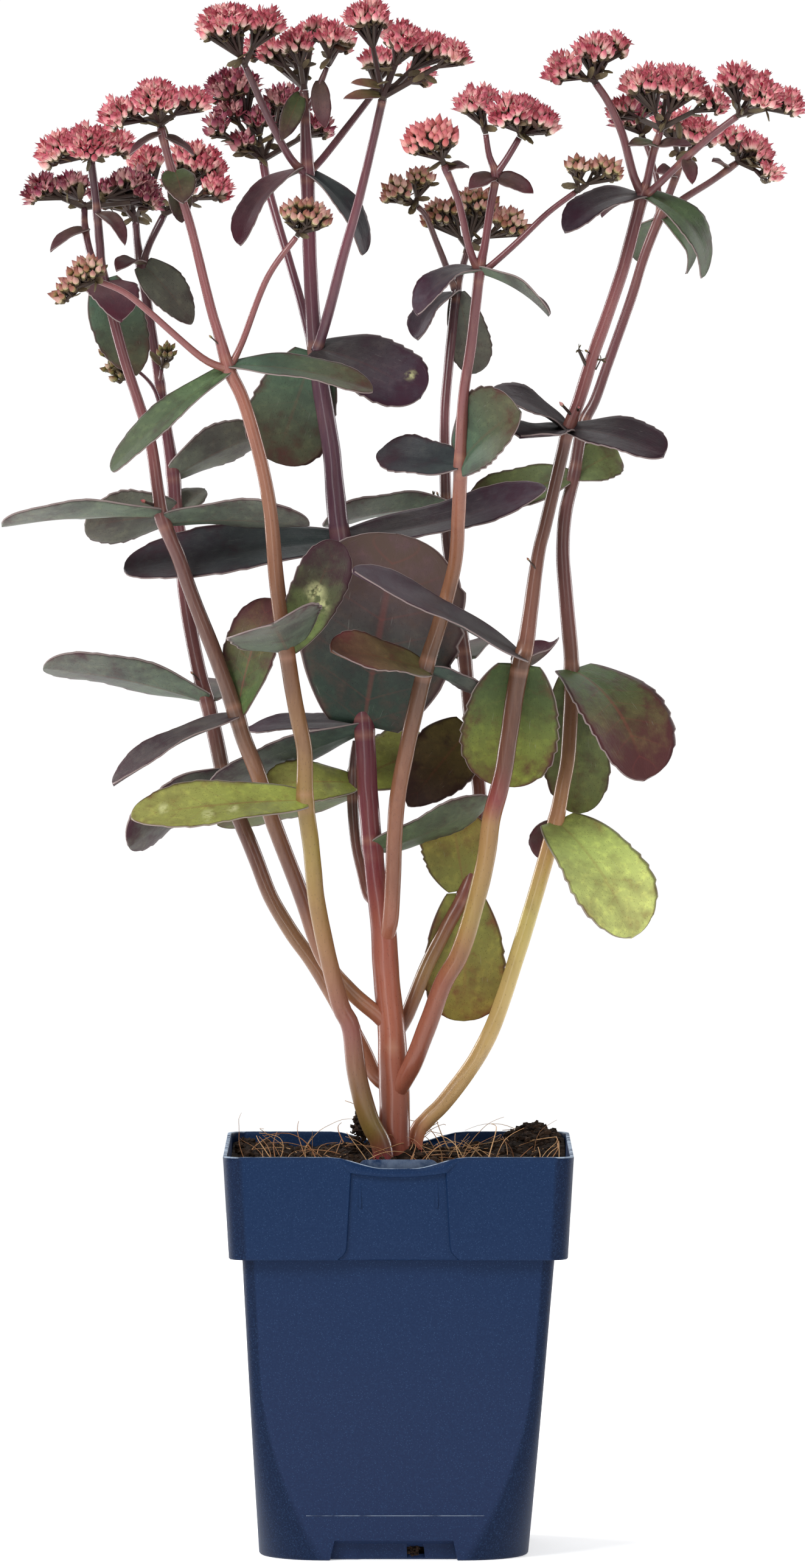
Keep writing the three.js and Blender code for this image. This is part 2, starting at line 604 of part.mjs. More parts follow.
// One domed cyme on the funnel of stalks that rises to it from the root of its head.
// It is the hull of a dome and the root, with the upper faces drawn out into pointed florets.
function cyme(root, [x, y, z, radius], length, random) {
  const centre = new THREE.Vector3(x, y, z);
  const axis = centre.clone().sub(root).normalize().addScaledVector(UP, 1.3).normalize();
  const turn = new THREE.Quaternion().setFromUnitVectors(UP, axis);
  const middle = centre.addScaledVector(axis, -DOME_DROP * radius);
  const reach = Math.min(length, radius * 0.5);
  const count = Math.max(6, Math.round((Math.PI * radius ** 2) / FLORET_AREA));
  const golden = Math.PI * (3 - Math.sqrt(5));
  const start = random() * Math.PI * 2;
  const points = [root];
  for (let i = 0; i < count; i++) {
    const share = Math.sqrt((i + 0.5) / (count - 0.5));
    const angle = start + i * golden;
    const far = share * radius * DOME_WIDTH;
    const high = DOME_HEIGHT * radius * (1 - share ** 2);
    const point = new THREE.Vector3(Math.cos(angle) * far, Math.sin(angle) * far, high);
    points.push(point.applyQuaternion(turn).add(middle));
  }
  const hull = new ConvexGeometry(points).attributes.position;
  const corners = [];
  for (let i = 0; i < hull.count; i += 3) {
    const face = [0, 1, 2].map((k) => new THREE.Vector3().fromBufferAttribute(hull, i + k));
    if (face.some((p) => p.distanceTo(root) < 0.01)) {
      corners.push(...face);
      continue;
    }
    const flat = new THREE.Triangle(...face);
    const tip = flat.getMidpoint(new THREE.Vector3());
    tip.addScaledVector(flat.getNormal(new THREE.Vector3()), reach * (0.8 + 0.4 * random()));
    for (const k of [0, 1, 2]) corners.push(face[k], face[(k + 1) % 3], tip);
  }
  return solid(new THREE.BufferGeometry().setFromPoints(corners));
}

// A whole flower head on the end of its stem: a short root and its cymes
function flowerHead(route, cymes, length, random) {
  const rings = frames(route.map(vec));
  const end = rings[rings.length - 1];
  const width = route[route.length - 1][3];
  const step = (far) => end.point.clone().addScaledVector(end.along, far);
  const socket = stemTube([[...step(GAP / 2), width], [...step(2.6), width]], STEM_SIDES);
  const solids = cymes.map((shape) => cyme(step(1), shape, length, random));
  return joined([socket, ...solids]);
}

// The rounded square of a given width and corner radius, as the ring of a cylinder
function squareRing(width, corner, k) {
  const perCorner = CORNER_STEPS + 1;
  const which = Math.floor(k / perCorner);
  const angle = (which + (k % perCorner) / CORNER_STEPS) * (Math.PI / 2);
  const centre = width / 2 - corner;
  const quarter = (which + 0.5) * (Math.PI / 2);
  return [
    Math.sign(Math.cos(quarter)) * centre + Math.cos(angle) * corner,
    Math.sign(Math.sin(quarter)) * centre + Math.sin(angle) * corner,
  ];
}

// A closed block with a rounded square section at each level [z, width, corner]
function squareLoft(levels) {
  const around = 4 * (CORNER_STEPS + 1);
  const block = new THREE.CylinderGeometry(1, 1, 1, around, levels.length - 1);
  return solid(
    warp(block, (p) => {
      const [z, width, corner] = levels[Math.round((p.y + 0.5) * (levels.length - 1))];
      if (Math.hypot(p.x, p.z) < 0.5) return new THREE.Vector3(0, 0, z);
      const turn = Math.atan2(p.x, p.z) / (Math.PI * 2);
      const k = Math.round(((turn + 1) % 1) * around) % around;
      const [x, y] = squareRing(width, corner, k);
      return new THREE.Vector3(x, y, z);
    }),
  );
}

// A flat shape drawn in x and z, given depth from y to y + depth
function frontPlate(shape, y, depth, curveSegments = 3) {
  const plate = new THREE.ExtrudeGeometry(shape, {
    depth,
    bevelEnabled: false,
    curveSegments,
  });
  return warp(plate, (p) => new THREE.Vector3(p.x, y + depth - p.z, p.y));
}

function block(x, y, z, width, depth, height) {
  return new THREE.BoxGeometry(width, depth, height).translate(x, y, z);
}

// The same solid on the front and, turned round, on the back or on all four sides
function onSides(geometry, turns) {
  return joined(turns.map((t) => solid(geometry.clone().rotateZ((t * Math.PI) / 2))));
}

const ALL_SIDES = [0, 1, 2, 3];
const FRONT_AND_BACK = [0, 2];
const COLLAR_LEAN = (RIM_WIDTH - COLLAR_FOOT_WIDTH) / 2 / COLLAR_HEIGHT;
const front = -RIM_WIDTH / 2;
const footFront = -BODY_FOOT_WIDTH / 2;
const tabFace = front + WALL + PANEL_DEPTH + TAB_GAP;
const collarFoot = POT_HEIGHT - COLLAR_HEIGHT;
const bodyWidth = (z) => BODY_FOOT_WIDTH + (BODY_TOP_WIDTH - BODY_FOOT_WIDTH) * (z / collarFoot);
const bodyCorner = (z) =>
  BODY_CORNER + (FOOT_CORNER - BODY_CORNER) * Math.max(0, 1 - z / CORNER_GROWS_BELOW) ** 2;

// The pot's body or its hollow: inset is how far the wall is set in, from is its lowest level
function bodyBlock(inset, from, top) {
  const levels = [from, ...BODY_LEVELS.filter((z) => z > from), top];
  return squareLoft(
    levels.map((z) => [z, bodyWidth(z) - 2 * inset, Math.max(bodyCorner(z) - inset, 1.5)]),
  );
}

function collarBlock(inset, from, top) {
  const width = (z) =>
    COLLAR_FOOT_WIDTH + ((RIM_WIDTH - COLLAR_FOOT_WIDTH) * (z - collarFoot)) / COLLAR_HEIGHT;
  return squareLoft([from, top].map((z) => [z, width(z) - 2 * inset, COLLAR_CORNER - inset]));
}

// The dip in the rim, as a shape open to above
function dipShape() {
  const half = DIP_WIDTH / 2;
  const low = POT_HEIGHT - DIP_DEPTH;
  const shape = new THREE.Shape();
  shape.moveTo(-half, POT_HEIGHT + 2);
  shape.lineTo(-half, POT_HEIGHT);
  shape.bezierCurveTo(-half * 0.6, POT_HEIGHT, -half * 0.65, low, 0, low);
  shape.bezierCurveTo(half * 0.65, low, half * 0.6, POT_HEIGHT, half, POT_HEIGHT);
  shape.lineTo(half, POT_HEIGHT + 2);
  return shape;
}

// Leans a plate like the face of the collar
function leaned(plate) {
  return warp(plate, (p) => p.clone().setY(p.y + COLLAR_LEAN * (POT_HEIGHT - p.z)));
}

// The sunk panel in the middle of the collar, with corners that flare at its foot
function panelShape(extra) {
  const top = POT_HEIGHT - PANEL_TOP_BELOW_RIM + extra;
  const halfTop = PANEL_TOP_WIDTH / 2 + extra;
  const halfFoot = PANEL_FOOT_WIDTH / 2 + extra;
  const flare = collarFoot + PANEL_CORNER;
  const shape = new THREE.Shape();
  shape.moveTo(-halfTop, top);
  shape.lineTo(-halfFoot, flare);
  shape.quadraticCurveTo(-halfFoot, collarFoot, -halfFoot - PANEL_CORNER, collarFoot);
  shape.lineTo(-halfFoot - PANEL_CORNER, collarFoot - 1);
  shape.lineTo(halfFoot + PANEL_CORNER, collarFoot - 1);
  shape.lineTo(halfFoot + PANEL_CORNER, collarFoot);
  shape.quadraticCurveTo(halfFoot, collarFoot, halfFoot, flare);
  shape.lineTo(halfTop, top);
  return shape;
}

// The crescent lip over the panel, under the dip
function lipShape() {
  const half = PANEL_TOP_WIDTH / 2;
  const top = POT_HEIGHT - DIP_DEPTH - 0.2;
  const shape = new THREE.Shape();
  shape.moveTo(-half, top + 1.4);
  shape.quadraticCurveTo(-half * 0.8, top - LIP_HEIGHT, 0, top - LIP_HEIGHT);
  shape.quadraticCurveTo(half * 0.8, top - LIP_HEIGHT, half, top + 1.4);
  shape.quadraticCurveTo(half * 0.5, top, 0, top);
  shape.quadraticCurveTo(-half * 0.5, top, -half, top + 1.4);
  return shape;
}

// The inner wall of the label pocket, with rounded upper corners
function tabShape(extra) {
  const half = TAB_WIDTH / 2 + extra;
  const top = POT_HEIGHT - TAB_BELOW_RIM + extra;
  const shape = new THREE.Shape();
  shape.moveTo(-half, top - TAB_HEIGHT - 2 * extra);
  shape.lineTo(half, top - TAB_HEIGHT - 2 * extra);
  shape.lineTo(half, top - 3);
  shape.quadraticCurveTo(half, top, half - 3, top);
  shape.lineTo(3 - half, top);
  shape.quadraticCurveTo(-half, top, -half, top - 3);
  return shape;
}

function notchShape(extra) {
  const foot = NOTCH_FOOT_WIDTH / 2 + extra;
  const top = NOTCH_TOP_WIDTH / 2 + extra;
  const shape = new THREE.Shape();
  shape.moveTo(-foot, -1);
  shape.lineTo(foot, -1);
  shape.lineTo(top, NOTCH_HEIGHT + extra);
  shape.lineTo(-top, NOTCH_HEIGHT + extra);
  return shape;
}

// What the notches in the skirt leave of the pot's hollow
function notchKeep(extra) {
  const plate = frontPlate(notchShape(extra), footFront - 2, NOTCH_DEPTH + 2 + extra);
  return onSides(plate, ALL_SIDES);
}

// The hollow of the pot, set in from its inner wall by inset
function potHollow(inset, floor, top) {
  const body = bodyBlock(WALL + inset, floor, collarFoot + FLOOR + 1);
  const collar = collarBlock(WALL + inset, collarFoot + FLOOR + inset, top);
  const pads = frontPlate(panelShape(inset), front - 1, 1 + WALL + PANEL_DEPTH + inset);
  return body
    .add(collar)
    .subtract(notchKeep(WALL + inset))
    .subtract(onSides(leaned(pads), FRONT_AND_BACK));
}

function buildPot() {
  const outside = bodyBlock(0, 0, collarFoot + 1).add(collarBlock(0, collarFoot, POT_HEIGHT));
  const shell = outside.subtract(potHollow(0, FLOOR, POT_HEIGHT + 5));
  const panel = leaned(frontPlate(panelShape(0), front - 1, 1 + PANEL_DEPTH));
  const notches = onSides(frontPlate(notchShape(0), footFront - 2, NOTCH_DEPTH + 2), ALL_SIDES);
  const drainMiddle = DRAIN.from + DRAIN.width / 2;
  const drainHeight = DRAIN.above + DRAIN.height / 2;
  const drain = block(
    drainMiddle, footFront + NOTCH_DEPTH, drainHeight, DRAIN.width, 4, DRAIN.height,
  );
  const dip = frontPlate(dipShape(), front - 2, RIM_WIDTH + 4, 5);
  const lip = frontPlate(lipShape(), front - LIP_STANDS_OUT + 0.4, LIP_STANDS_OUT + 0.8);
  const tab = leaned(frontPlate(tabShape(0), tabFace, TAB_THICK));
  const ribHeight = TAB_HEIGHT - 4;
  const ribZ = POT_HEIGHT - TAB_BELOW_RIM - TAB_HEIGHT + ribHeight / 2;
  const ribFrom = front + WALL + PANEL_DEPTH - 0.6;
  const ribDepth = tabFace + 0.5 - ribFrom;
  const ribs = [-1, 1].map((s) =>
    solid(
      leaned(block(s * (TAB_WIDTH / 2 - 0.5), ribFrom + ribDepth / 2, ribZ, 1, ribDepth, ribHeight)),
    ),
  );
  return shell
    .subtract(onSides(panel, FRONT_AND_BACK))
    .subtract(notches)
    .subtract(onSides(drain, ALL_SIDES))
    .subtract(solid(dip))
    .add(onSides(lip, FRONT_AND_BACK))
    .add(solid(tab))
    .add(joined(ribs));
}

// A block whose top is the rough surface of the soil, with a mound in the back right corner
function soilTop() {
  const random = seeded(SEED);
  const bumps = new Map();
  const size = RIM_WIDTH + 10;
  const top = new THREE.BoxGeometry(size, size, 40, SOIL_CELLS, SOIL_CELLS, 1);
  return warp(top, (p) => {
    if (p.z < 0) return p;
    const key = Math.round(p.x) + "," + Math.round(p.y);
    if (!bumps.has(key)) bumps.set(key, (random() - 0.5) * 2 * SOIL_ROUGH);
    const off = Math.hypot(p.x - SOIL_MOUND.x, p.y - SOIL_MOUND.y) / SOIL_MOUND.reach;
    const mound = SOIL_MOUND.height * Math.exp(-off * off);
    return new THREE.Vector3(p.x, p.y, SOIL_LEVEL + bumps.get(key) + mound);
  });
}

function buildSoil(buried) {
  const deep = block(0, 0, (SOIL_LEVEL - 15) / 2, RIM_WIDTH, RIM_WIDTH, SOIL_LEVEL - 15);
  const reach = solid(deep).add(solid(soilTop()));
  const tabRoom = frontPlate(tabShape(GAP), front, tabFace - front + TAB_THICK + GAP);
  return potHollow(GAP, FLOOR + GAP, POT_HEIGHT + 4)
    .intersect(reach)
    .subtract(solid(leaned(tabRoom)))
    .subtract(buried);
}

const COLOURS = {
  pot: { color: "#22355a", roughness: 0.45 },
  soil: { color: "#33261d", roughness: 0.95 },
  stem: { color: "#7d5a4a", roughness: 0.5 },
  rose: { color: "#c9566b", roughness: 0.6 },
  dusky: { color: "#8f4058", roughness: 0.6 },
  bud: { color: "#b98a5e", roughness: 0.6 },
  rosebud: { color: "#d07a74", roughness: 0.6 },
  green: { color: "#7c7a3a", roughness: 0.6 },
};

const plant = new THREE.Group();

function piece(name, body, look) {
  const material = new THREE.MeshStandardMaterial({ ...COLOURS[look], metalness: 0 });
  const mesh = new THREE.Mesh(geometryOf(body, name), material);
  mesh.name = name;
  plant.add(mesh);
}

const IN_SOIL = ["main_stem", "stem_front_left", "stem_right_back"];
const sidesOf = (name) => (name === "main_stem" ? TRUNK_SIDES : STEM_SIDES);
const trunkGrown = stemTube(STEMS.main_stem[0].route, TRUNK_SIDES, GAP);
const buried = joined(
  IN_SOIL.map((name) => stemTube(STEMS[name][0].route.slice(0, 4), sidesOf(name), GAP)),
);

function leafyStem(name) {
  const tubes = STEMS[name].map(({ head, route }, i) => {
    const sides = i === 0 ? sidesOf(name) : BRANCH_SIDES;
    return stemTube(route, sides, 0, 0, head ? GAP / 2 : 0);
  });
  const whole = joined([...tubes, ...LEAVES[name].map(leafBlade)]);
  return name === "main_stem" ? whole : whole.subtract(trunkGrown);
}

piece("pot", buildPot(), "pot");
piece("soil", buildSoil(buried), "soil");
const random = seeded(SEED);
for (const name of Object.keys(STEMS)) {
  piece(name, leafyStem(name), "stem");
  for (const { head, route } of STEMS[name]) {
    if (head) {
      const [look, cymes] = HEADS[head];
      piece(head, flowerHead(route, cymes, FLORET_LENGTH[look], random), look);
    }
  }
}

export default plant;
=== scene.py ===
"""Looks of the potted stonecrop: a navy nursery pot, peaty soil, nine leafy stems and their
flower heads.

The lengths of the plant and the pot are millimetres in the frame of the part: +Z up, the front
of the pot towards -Y. The studio's lengths are metres.
"""

import math
import random

import bmesh
import bpy
from mathutils import Matrix, Vector, noise


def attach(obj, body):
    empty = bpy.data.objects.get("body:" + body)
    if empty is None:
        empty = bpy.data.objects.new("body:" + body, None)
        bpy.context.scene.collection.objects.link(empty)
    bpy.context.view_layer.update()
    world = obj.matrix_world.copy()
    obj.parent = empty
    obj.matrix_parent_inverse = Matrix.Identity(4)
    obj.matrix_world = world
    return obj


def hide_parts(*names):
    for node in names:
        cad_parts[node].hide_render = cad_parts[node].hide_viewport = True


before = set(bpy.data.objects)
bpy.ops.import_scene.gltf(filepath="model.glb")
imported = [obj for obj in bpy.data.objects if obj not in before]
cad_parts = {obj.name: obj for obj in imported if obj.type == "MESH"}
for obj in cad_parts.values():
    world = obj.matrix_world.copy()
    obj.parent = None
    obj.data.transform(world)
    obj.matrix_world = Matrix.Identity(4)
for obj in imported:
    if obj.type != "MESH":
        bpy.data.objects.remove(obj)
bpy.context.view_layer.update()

MM = 0.001
UP = Vector((0, 0, 1))
GOLDEN_ANGLE = math.pi * (3 - math.sqrt(5))

# Pot, as in the solid
POT_HEIGHT = 128
RIM_WIDTH = 110
COLLAR_FOOT_WIDTH = 106.3
COLLAR_FOOT = 95.5
BODY_TOP_WIDTH = 98
BODY_FOOT_WIDTH = 85
WALL = 1.3
FLOOR = 1.6
COLLAR_CORNER = 6
BODY_CORNER = 4
FOOT_CORNER = 21.5
CORNER_GROWS_BELOW = 60
# How far the foot leans to the left of the rim
FOOT_LEAN = -1.5
# The dip in the front and back of the rim, the sunk panel under it and the lip between them
DIP_HALF = 21.5
DIP_DEPTH = 3.5
PANEL_HALF_TOP = 14.8
PANEL_HALF_FOOT = 16.4
PANEL_FLARE = 4
PANEL_DEPTH = 0.9
LIP_HALF = 19.5
LIP_OUT = 0.8
LIP_CENTRE_FOOT, LIP_SIDE_FOOT, LIP_BEND = 121.7, 123, 15
# The notch in the skirt of each side, a little shallower left of NOTCH_STEP_X, and the drain slot
# in it, with the heights between which crumbs show in the slot
NOTCH_HALF_TOP = 18.5
NOTCH_HALF_FOOT = 20
NOTCH_HEIGHT = 6.3
NOTCH_DEPTH = 4
NOTCH_STEP_X, NOTCH_STEP = -11, 0.7
DRAIN_FROM, DRAIN_TO, DRAIN_FOOT = 2.6, 8.4, 0.4
DRAIN_LOW, DRAIN_HIGH = 0.9, 5.6
# How pale the label tab and the raised line low on the pot are made: painted light on the shaded
# tab and a painted highlight along the line
TAB_PAINTED_LIGHT = 0.22
LINE_PAINTED_HIGHLIGHT = 0.35
LINE_LENGTH, LINE_THICK, LINE_HEIGHT = 56, 0.32, 14.3

# Soil
SOIL_LEVEL = 121.5
SOIL_HALF = 53.2
SOIL_CELLS = 80
MOUND_X, MOUND_Y, MOUND_REACH, MOUND_HEIGHT = 44, 44, 13, 6.4
# Half widths and heights of the plug under its rough top
PLUG = ((50.8, 100), (47, 94), (39, 12), (34, 2))
CRUMBS_ON_TOP, CRUMBS_ON_MOUND, CRUMBS_BY_STEM = 3000, 320, 240
CRUMBS_ON_TAB, CRUMBS_IN_SLOT = 60, 150
FIBRES = 200

# Plant
STEM_STEP = 1.8
TRUNK_SIDES, STEM_SIDES, STALK_SIDES = 20, 14, 10
LEAF_WIDEST = 0.64
# A flower head's dome: how far it hangs below its middle and rises above it, as shares of its
# radius, and the area that each flower takes
DOME_DROP = 0.25
DOME_HEIGHT = 0.7
FLORET_AREA = 6.2
# Radii of the stalks in a flower head, flowers to a fork, and how often a fork has a bract
HEAD_STALK, FORK_STALK, FLOWER_STALK = 1.05, 0.6, 0.48
FLOWERS_TO_A_FORK = 3.2
BRACT_CHANCE = 0.85

# Routes of the stems: the head at the end, then x, y, z and the diameter of points up them
STEMS = {
    "main_stem": [
        ("head_crown_middle", [
            (-1.4, 0, 102.4, 10.4), (-1.4, 0, 124.1, 10.4), (-1.2, 0, 140.5, 9.8),
            (-1.7, 0, 153.5, 9.4), (-2.3, 0, 166.4, 8.8), (-3.7, 0, 179.4, 8.4),
            (-4.8, 0, 196.5, 8.2), (-7.3, 1, 213.7, 6.6), (-9.7, 2, 239.6, 6.6),
            (-10.8, 2, 260, 6.6), (-13.9, 5, 289.7, 6.8), (-19, 6, 324.3, 6.6),
            (-21.1, 6, 346.8, 5.8), (-23.6, 6, 362.3, 5.8), (-26.1, 6, 379.5, 5.4),
            (-27.3, 6, 394.2, 4.6), (-28.1, 6, 409.7, 4.4), (-28.6, 6, 427.1, 4.4),
            (-28.8, 6, 435.5, 4.4), (-29.6, 6, 454, 3.2), (-30, 6, 462, 2.8),
        ]),
        ("head_crown_left", [
            (-28.8, 6, 435.5, 2.9), (-34, 2, 440.2, 2.6), (-41.5, -4, 454.1, 2.4),
            (-48.2, -8, 469.1, 2.1),
        ]),
        ("head_crown_back", [
            (-28.8, 6, 435.5, 2.7), (-24.2, 10, 440.3, 2.4), (-15.5, 18, 451.5, 2.3),
            (-8.4, 24, 460.7, 2),
        ]),
        ("head_back_left", [
            (-26.5, 8, 376.8, 3.4), (-31.3, 20, 396.1, 2.8), (-40.6, 38, 427.4, 2.8),
            (-43.2, 42, 439.5, 2.8),
        ]),
        ("head_crown_right", [
            (-25.9, 4, 379.5, 3.5), (-22.2, 0, 391.3, 3.5), (-17.4, -6, 409.7, 3.3),
            (-12.5, -10, 427, 3), (-8.3, -12, 444.3, 2.8), (-5, -14, 458.6, 2.7),
        ]),
        ("head_crown_small", [
            (-29.6, 6, 455.2, 2), (-25.7, 6, 462, 1.8), (-22.6, 6, 469.3, 1.7),
        ]),
    ],
    "stem_front_left": [
        ("head_left_upper", [
            (-4.2, -9, 107, 6.6), (-5, -9, 126.3, 6.6), (-9.4, -10, 136.8, 6.4),
            (-12.9, -11, 149.8, 6.4), (-15, -12, 165.6, 6.2), (-18.3, -13, 172.8, 5.8),
            (-22.3, -15, 188.7, 5.6), (-25.8, -17, 206, 5.5), (-27.5, -20, 223.4, 5.5),
            (-29.4, -22, 238.5, 5.5), (-29.6, -24, 253.6, 5.2), (-32.4, -27, 268.5, 5.2),
            (-35.1, -30, 285.4, 5.1), (-37.9, -32, 304.3, 5), (-40.4, -33, 331.1, 4.5),
            (-44.2, -33, 349.3, 4.2), (-48.8, -33, 364.6, 4.2), (-53.2, -33, 374, 4.1),
            (-56.3, -34, 384.7, 3.4), (-59.1, -34, 394.3, 3.1), (-65.6, -35, 420.5, 2.8),
            (-71.1, -37, 436.8, 2.8), (-74.4, -38, 449.6, 2.3),
        ]),
        ("head_bud_left", [
            (-53.2, -33, 374, 2.6), (-61.6, -37, 377.7, 2.3), (-77.5, -44, 391.6, 2.1),
            (-85.5, -46, 398.1, 2), (-93.6, -47, 401.6, 1.9),
        ]),
        ("head_bud_middle", [
            (-53.2, -33, 374, 2.4), (-49.2, -32, 382, 2.1), (-41.2, -32, 402.5, 2),
            (-32, -32, 415.4, 1.8),
        ]),
    ],
    "stem_left_back": [
        ("head_left_far", [
            (-1.7, 2, 145.8, 5), (-7.2, 5, 149.4, 5), (-12.6, 8, 159.9, 5.2),
            (-25, 13, 181.5, 5), (-34, 16, 194.3, 5), (-40.8, 18, 205.8, 5),
            (-46.1, 20, 219.3, 5), (-52.5, 22, 234.8, 5), (-55.8, 23, 244.3, 5),
            (-58.2, 24, 255.5, 5.2), (-61.1, 25, 268.1, 4.8), (-64.2, 26, 279.9, 4.7),
            (-68, 28, 300.7, 4.5), (-69.2, 30, 316.2, 4.5), (-71.1, 31, 327.9, 4.5),
            (-71.9, 32, 340, 4.5), (-74.1, 34, 354.2, 3.6), (-76.3, 36, 369, 3.3),
            (-79.3, 39, 387.7, 3.3), (-82.3, 42, 405.9, 3.2), (-83.6, 46, 413.7, 2.5),
            (-84.2, 50, 420, 2.3),
        ]),
        ("head_left_inner", [
            (-82.3, 42, 405.9, 2.7), (-79.6, 42, 413.7, 2.4), (-75.3, 44, 422.3, 2.3),
        ]),
        ("buds_green_left", [
            (-75.1, 34, 357.1, 1.5), (-77.7, 28, 366.9, 1.3), (-82.2, 22, 372.4, 1.1),
            (-86.1, 19, 374.2, 1.1),
        ]),
        ("buds_green_right", [
            (-76.3, 36, 369, 1.5), (-75.6, 32, 373.5, 1.2),
        ]),
    ],
    "stem_left_front": [
        ("head_left_front", [
            (-2.1, 0, 164.3, 5), (-6.4, -1, 169, 5), (-15.4, -3, 177, 5), (-24.1, -5, 188.1, 5),
            (-30.5, -6, 206.7, 5.2), (-39.9, -8, 231.5, 5.2), (-44.3, -9, 245.6, 5.2),
            (-48.8, -10, 256.9, 5.3), (-51.1, -10, 264.2, 5.3), (-55.3, -11, 276.7, 5),
            (-59.7, -12, 288.5, 4.9), (-64.9, -12, 301.8, 4.7), (-69.3, -13, 314.4, 4.7),
            (-74.5, -14, 326.9, 4.6), (-75.6, -14, 333.6, 4.1), (-78.2, -14, 351.1, 3.6),
            (-81.8, -14, 362.9, 3.4), (-87, -13, 379, 3.4), (-93.1, -11, 402.5, 3.2),
            (-94.2, -12, 413.5, 2.8), (-95.3, -14, 427, 2.6), (-96.8, -16, 439.3, 2.5),
        ]),
        ("head_left_behind", [
            (-93.1, -11, 402.5, 2.6), (-97.1, -4, 409.7, 2.4), (-99.2, 2, 418.4, 2.3),
            (-99.5, 6, 424.2, 2.1),
        ]),
    ],
    "stem_centre": [
        ("head_centre_left", [
            (-4.1, -1, 193.3, 5), (-2.5, -5, 200.3, 5.2), (-1.7, -8, 214.2, 5.2),
            (-1.2, -11, 227.2, 5.2), (0, -14, 240.3, 5.2), (3.5, -18, 258.3, 5.3),
            (8.6, -21, 280, 5.3), (12.1, -22, 291.1, 4.9), (15.5, -24, 303.1, 4.7),
            (18, -27, 314.3, 4.5), (18.8, -33, 327.3, 4.5), (19.5, -40, 343.7, 4.4),
            (20.2, -46, 364.4, 3.4), (22.7, -50, 381.9, 3.4), (25.3, -55, 404.4, 3.2),
            (27, -56, 413.4, 2.6), (28.7, -57, 424.8, 2.6), (30.2, -58, 434.7, 2.5),
            (28.3, -58, 440.4, 2), (27.2, -58, 447.2, 1.8),
        ]),
        ("head_centre_right", [
            (30.2, -58, 434.7, 2.3), (33.7, -58, 439.6, 2.1), (37.6, -58, 446.1, 2),
        ]),
        ("head_bud_rose", [
            (25.3, -55, 404.4, 2.7), (22.3, -57, 411.1, 2.4), (18.6, -60, 426.7, 2.3),
            (14.2, -62, 437.7, 2.1),
        ]),
        ("head_bud_right", [
            (25.3, -55, 404.4, 2.4), (28.4, -55, 406.1, 2.1), (37.1, -54, 413.8, 2),
            (46.6, -53, 422.9, 1.8), (55, -52, 429.2, 1.8),
        ]),
    ],
    "stem_centre_back": [
        ("head_centre_back", [
            (-1.4, 3, 162.1, 4.4), (2.5, 6, 168.1, 4.6), (8.7, 9, 183.1, 4.6),
            (15.5, 12, 196.5, 4.6), (21.3, 14, 207.6, 4.6), (24.7, 16, 219.5, 4.5),
            (26, 19, 233.4, 4.4), (25.1, 22, 246.4, 4.4), (23.3, 25, 259, 4.4),
            (21, 30, 283.1, 4.4), (18.1, 33, 302.5, 4), (15.8, 36, 318.1, 4),
            (15.2, 38, 330.5, 3.9), (14.9, 41, 345.3, 3.4), (14.9, 45, 359.7, 3.1),
            (16.1, 50, 374.2, 3.1), (18.6, 57, 398.1, 3), (20.6, 60, 405.9, 2.3),
            (22.2, 62, 411.4, 2.2),
        ]),
        ("head_bud_green", [
            (18.6, 57, 398.1, 2.4), (12.9, 54, 412.6, 2), (8.8, 49, 422.5, 1.8),
            (6.1, 47, 425.5, 1.8),
        ]),
    ],
    "stem_right_front": [
        ("head_right_middle", [
            (-1.4, -1, 143.1, 5.6), (2.5, -4, 150.1, 6), (5.2, -6, 155.6, 6),
            (9.4, -8, 166.7, 6), (14.3, -10, 180, 6), (19.1, -11, 188.5, 6),
            (23.3, -13, 201.5, 5.9), (27.5, -15, 218.8, 5.9), (29.2, -16, 231.7, 5.9),
            (31.4, -17, 240.2, 5.9), (33.6, -18, 249.7, 5.8), (36.1, -20, 267.1, 5.8),
            (38.6, -22, 281.9, 5.8), (40.3, -22, 288.4, 5.3), (43.8, -23, 314.2, 4.2),
            (46.3, -23, 325, 4.1), (51.3, -24, 346.3, 4.1), (53.3, -25, 354.9, 4.1),
            (56.8, -25, 364.2, 4.1), (61.2, -26, 378.4, 4), (66.2, -27, 392.6, 3.9),
            (70.9, -28, 406.8, 3.9), (76.7, -28, 428.8, 3.9), (78, -29, 432.6, 2.8),
            (80.1, -30, 442.4, 2.5), (82.2, -31, 448.5, 2.3),
        ]),
        ("head_right_left", [
            (76.7, -28, 428.8, 3), (74, -30, 434, 2.7), (70.3, -33, 447.3, 2.6),
            (66, -35, 457.1, 2.4), (61.8, -37, 463.4, 2.3),
        ]),
        ("head_right_outer", [
            (76.7, -28, 428.8, 2.7), (79, -30, 429.6, 2.4), (89.2, -36, 439.3, 2.3),
            (98.2, -40, 447.2, 2.1), (105.8, -42, 453, 2.1),
        ]),
    ],
    "stem_right_back": [
        ("head_far_right_upper", [
            (4.1, 6, 106.8, 5.4), (5.2, 6, 128.7, 5.4), (9.1, 7, 135.2, 5.3),
            (13.9, 7, 140, 5.3), (20.7, 8, 148.5, 5.3), (26.3, 8, 157.2, 5.3),
            (31.2, 9, 167.6, 5.2), (36.4, 9, 183.1, 5.1), (41.7, 10, 200.2, 5.1),
            (46.7, 10, 217.5, 5.1), (50.2, 11, 230.4, 5.1), (52, 12, 239.9, 4.9),
            (54.1, 13, 252.6, 4.9), (55.1, 15, 277.8, 4.9), (53.8, 16, 296, 4.7),
            (52.4, 18, 314.6, 4.4), (53.2, 19, 327.8, 4.3), (55.8, 20, 339.4, 4.1),
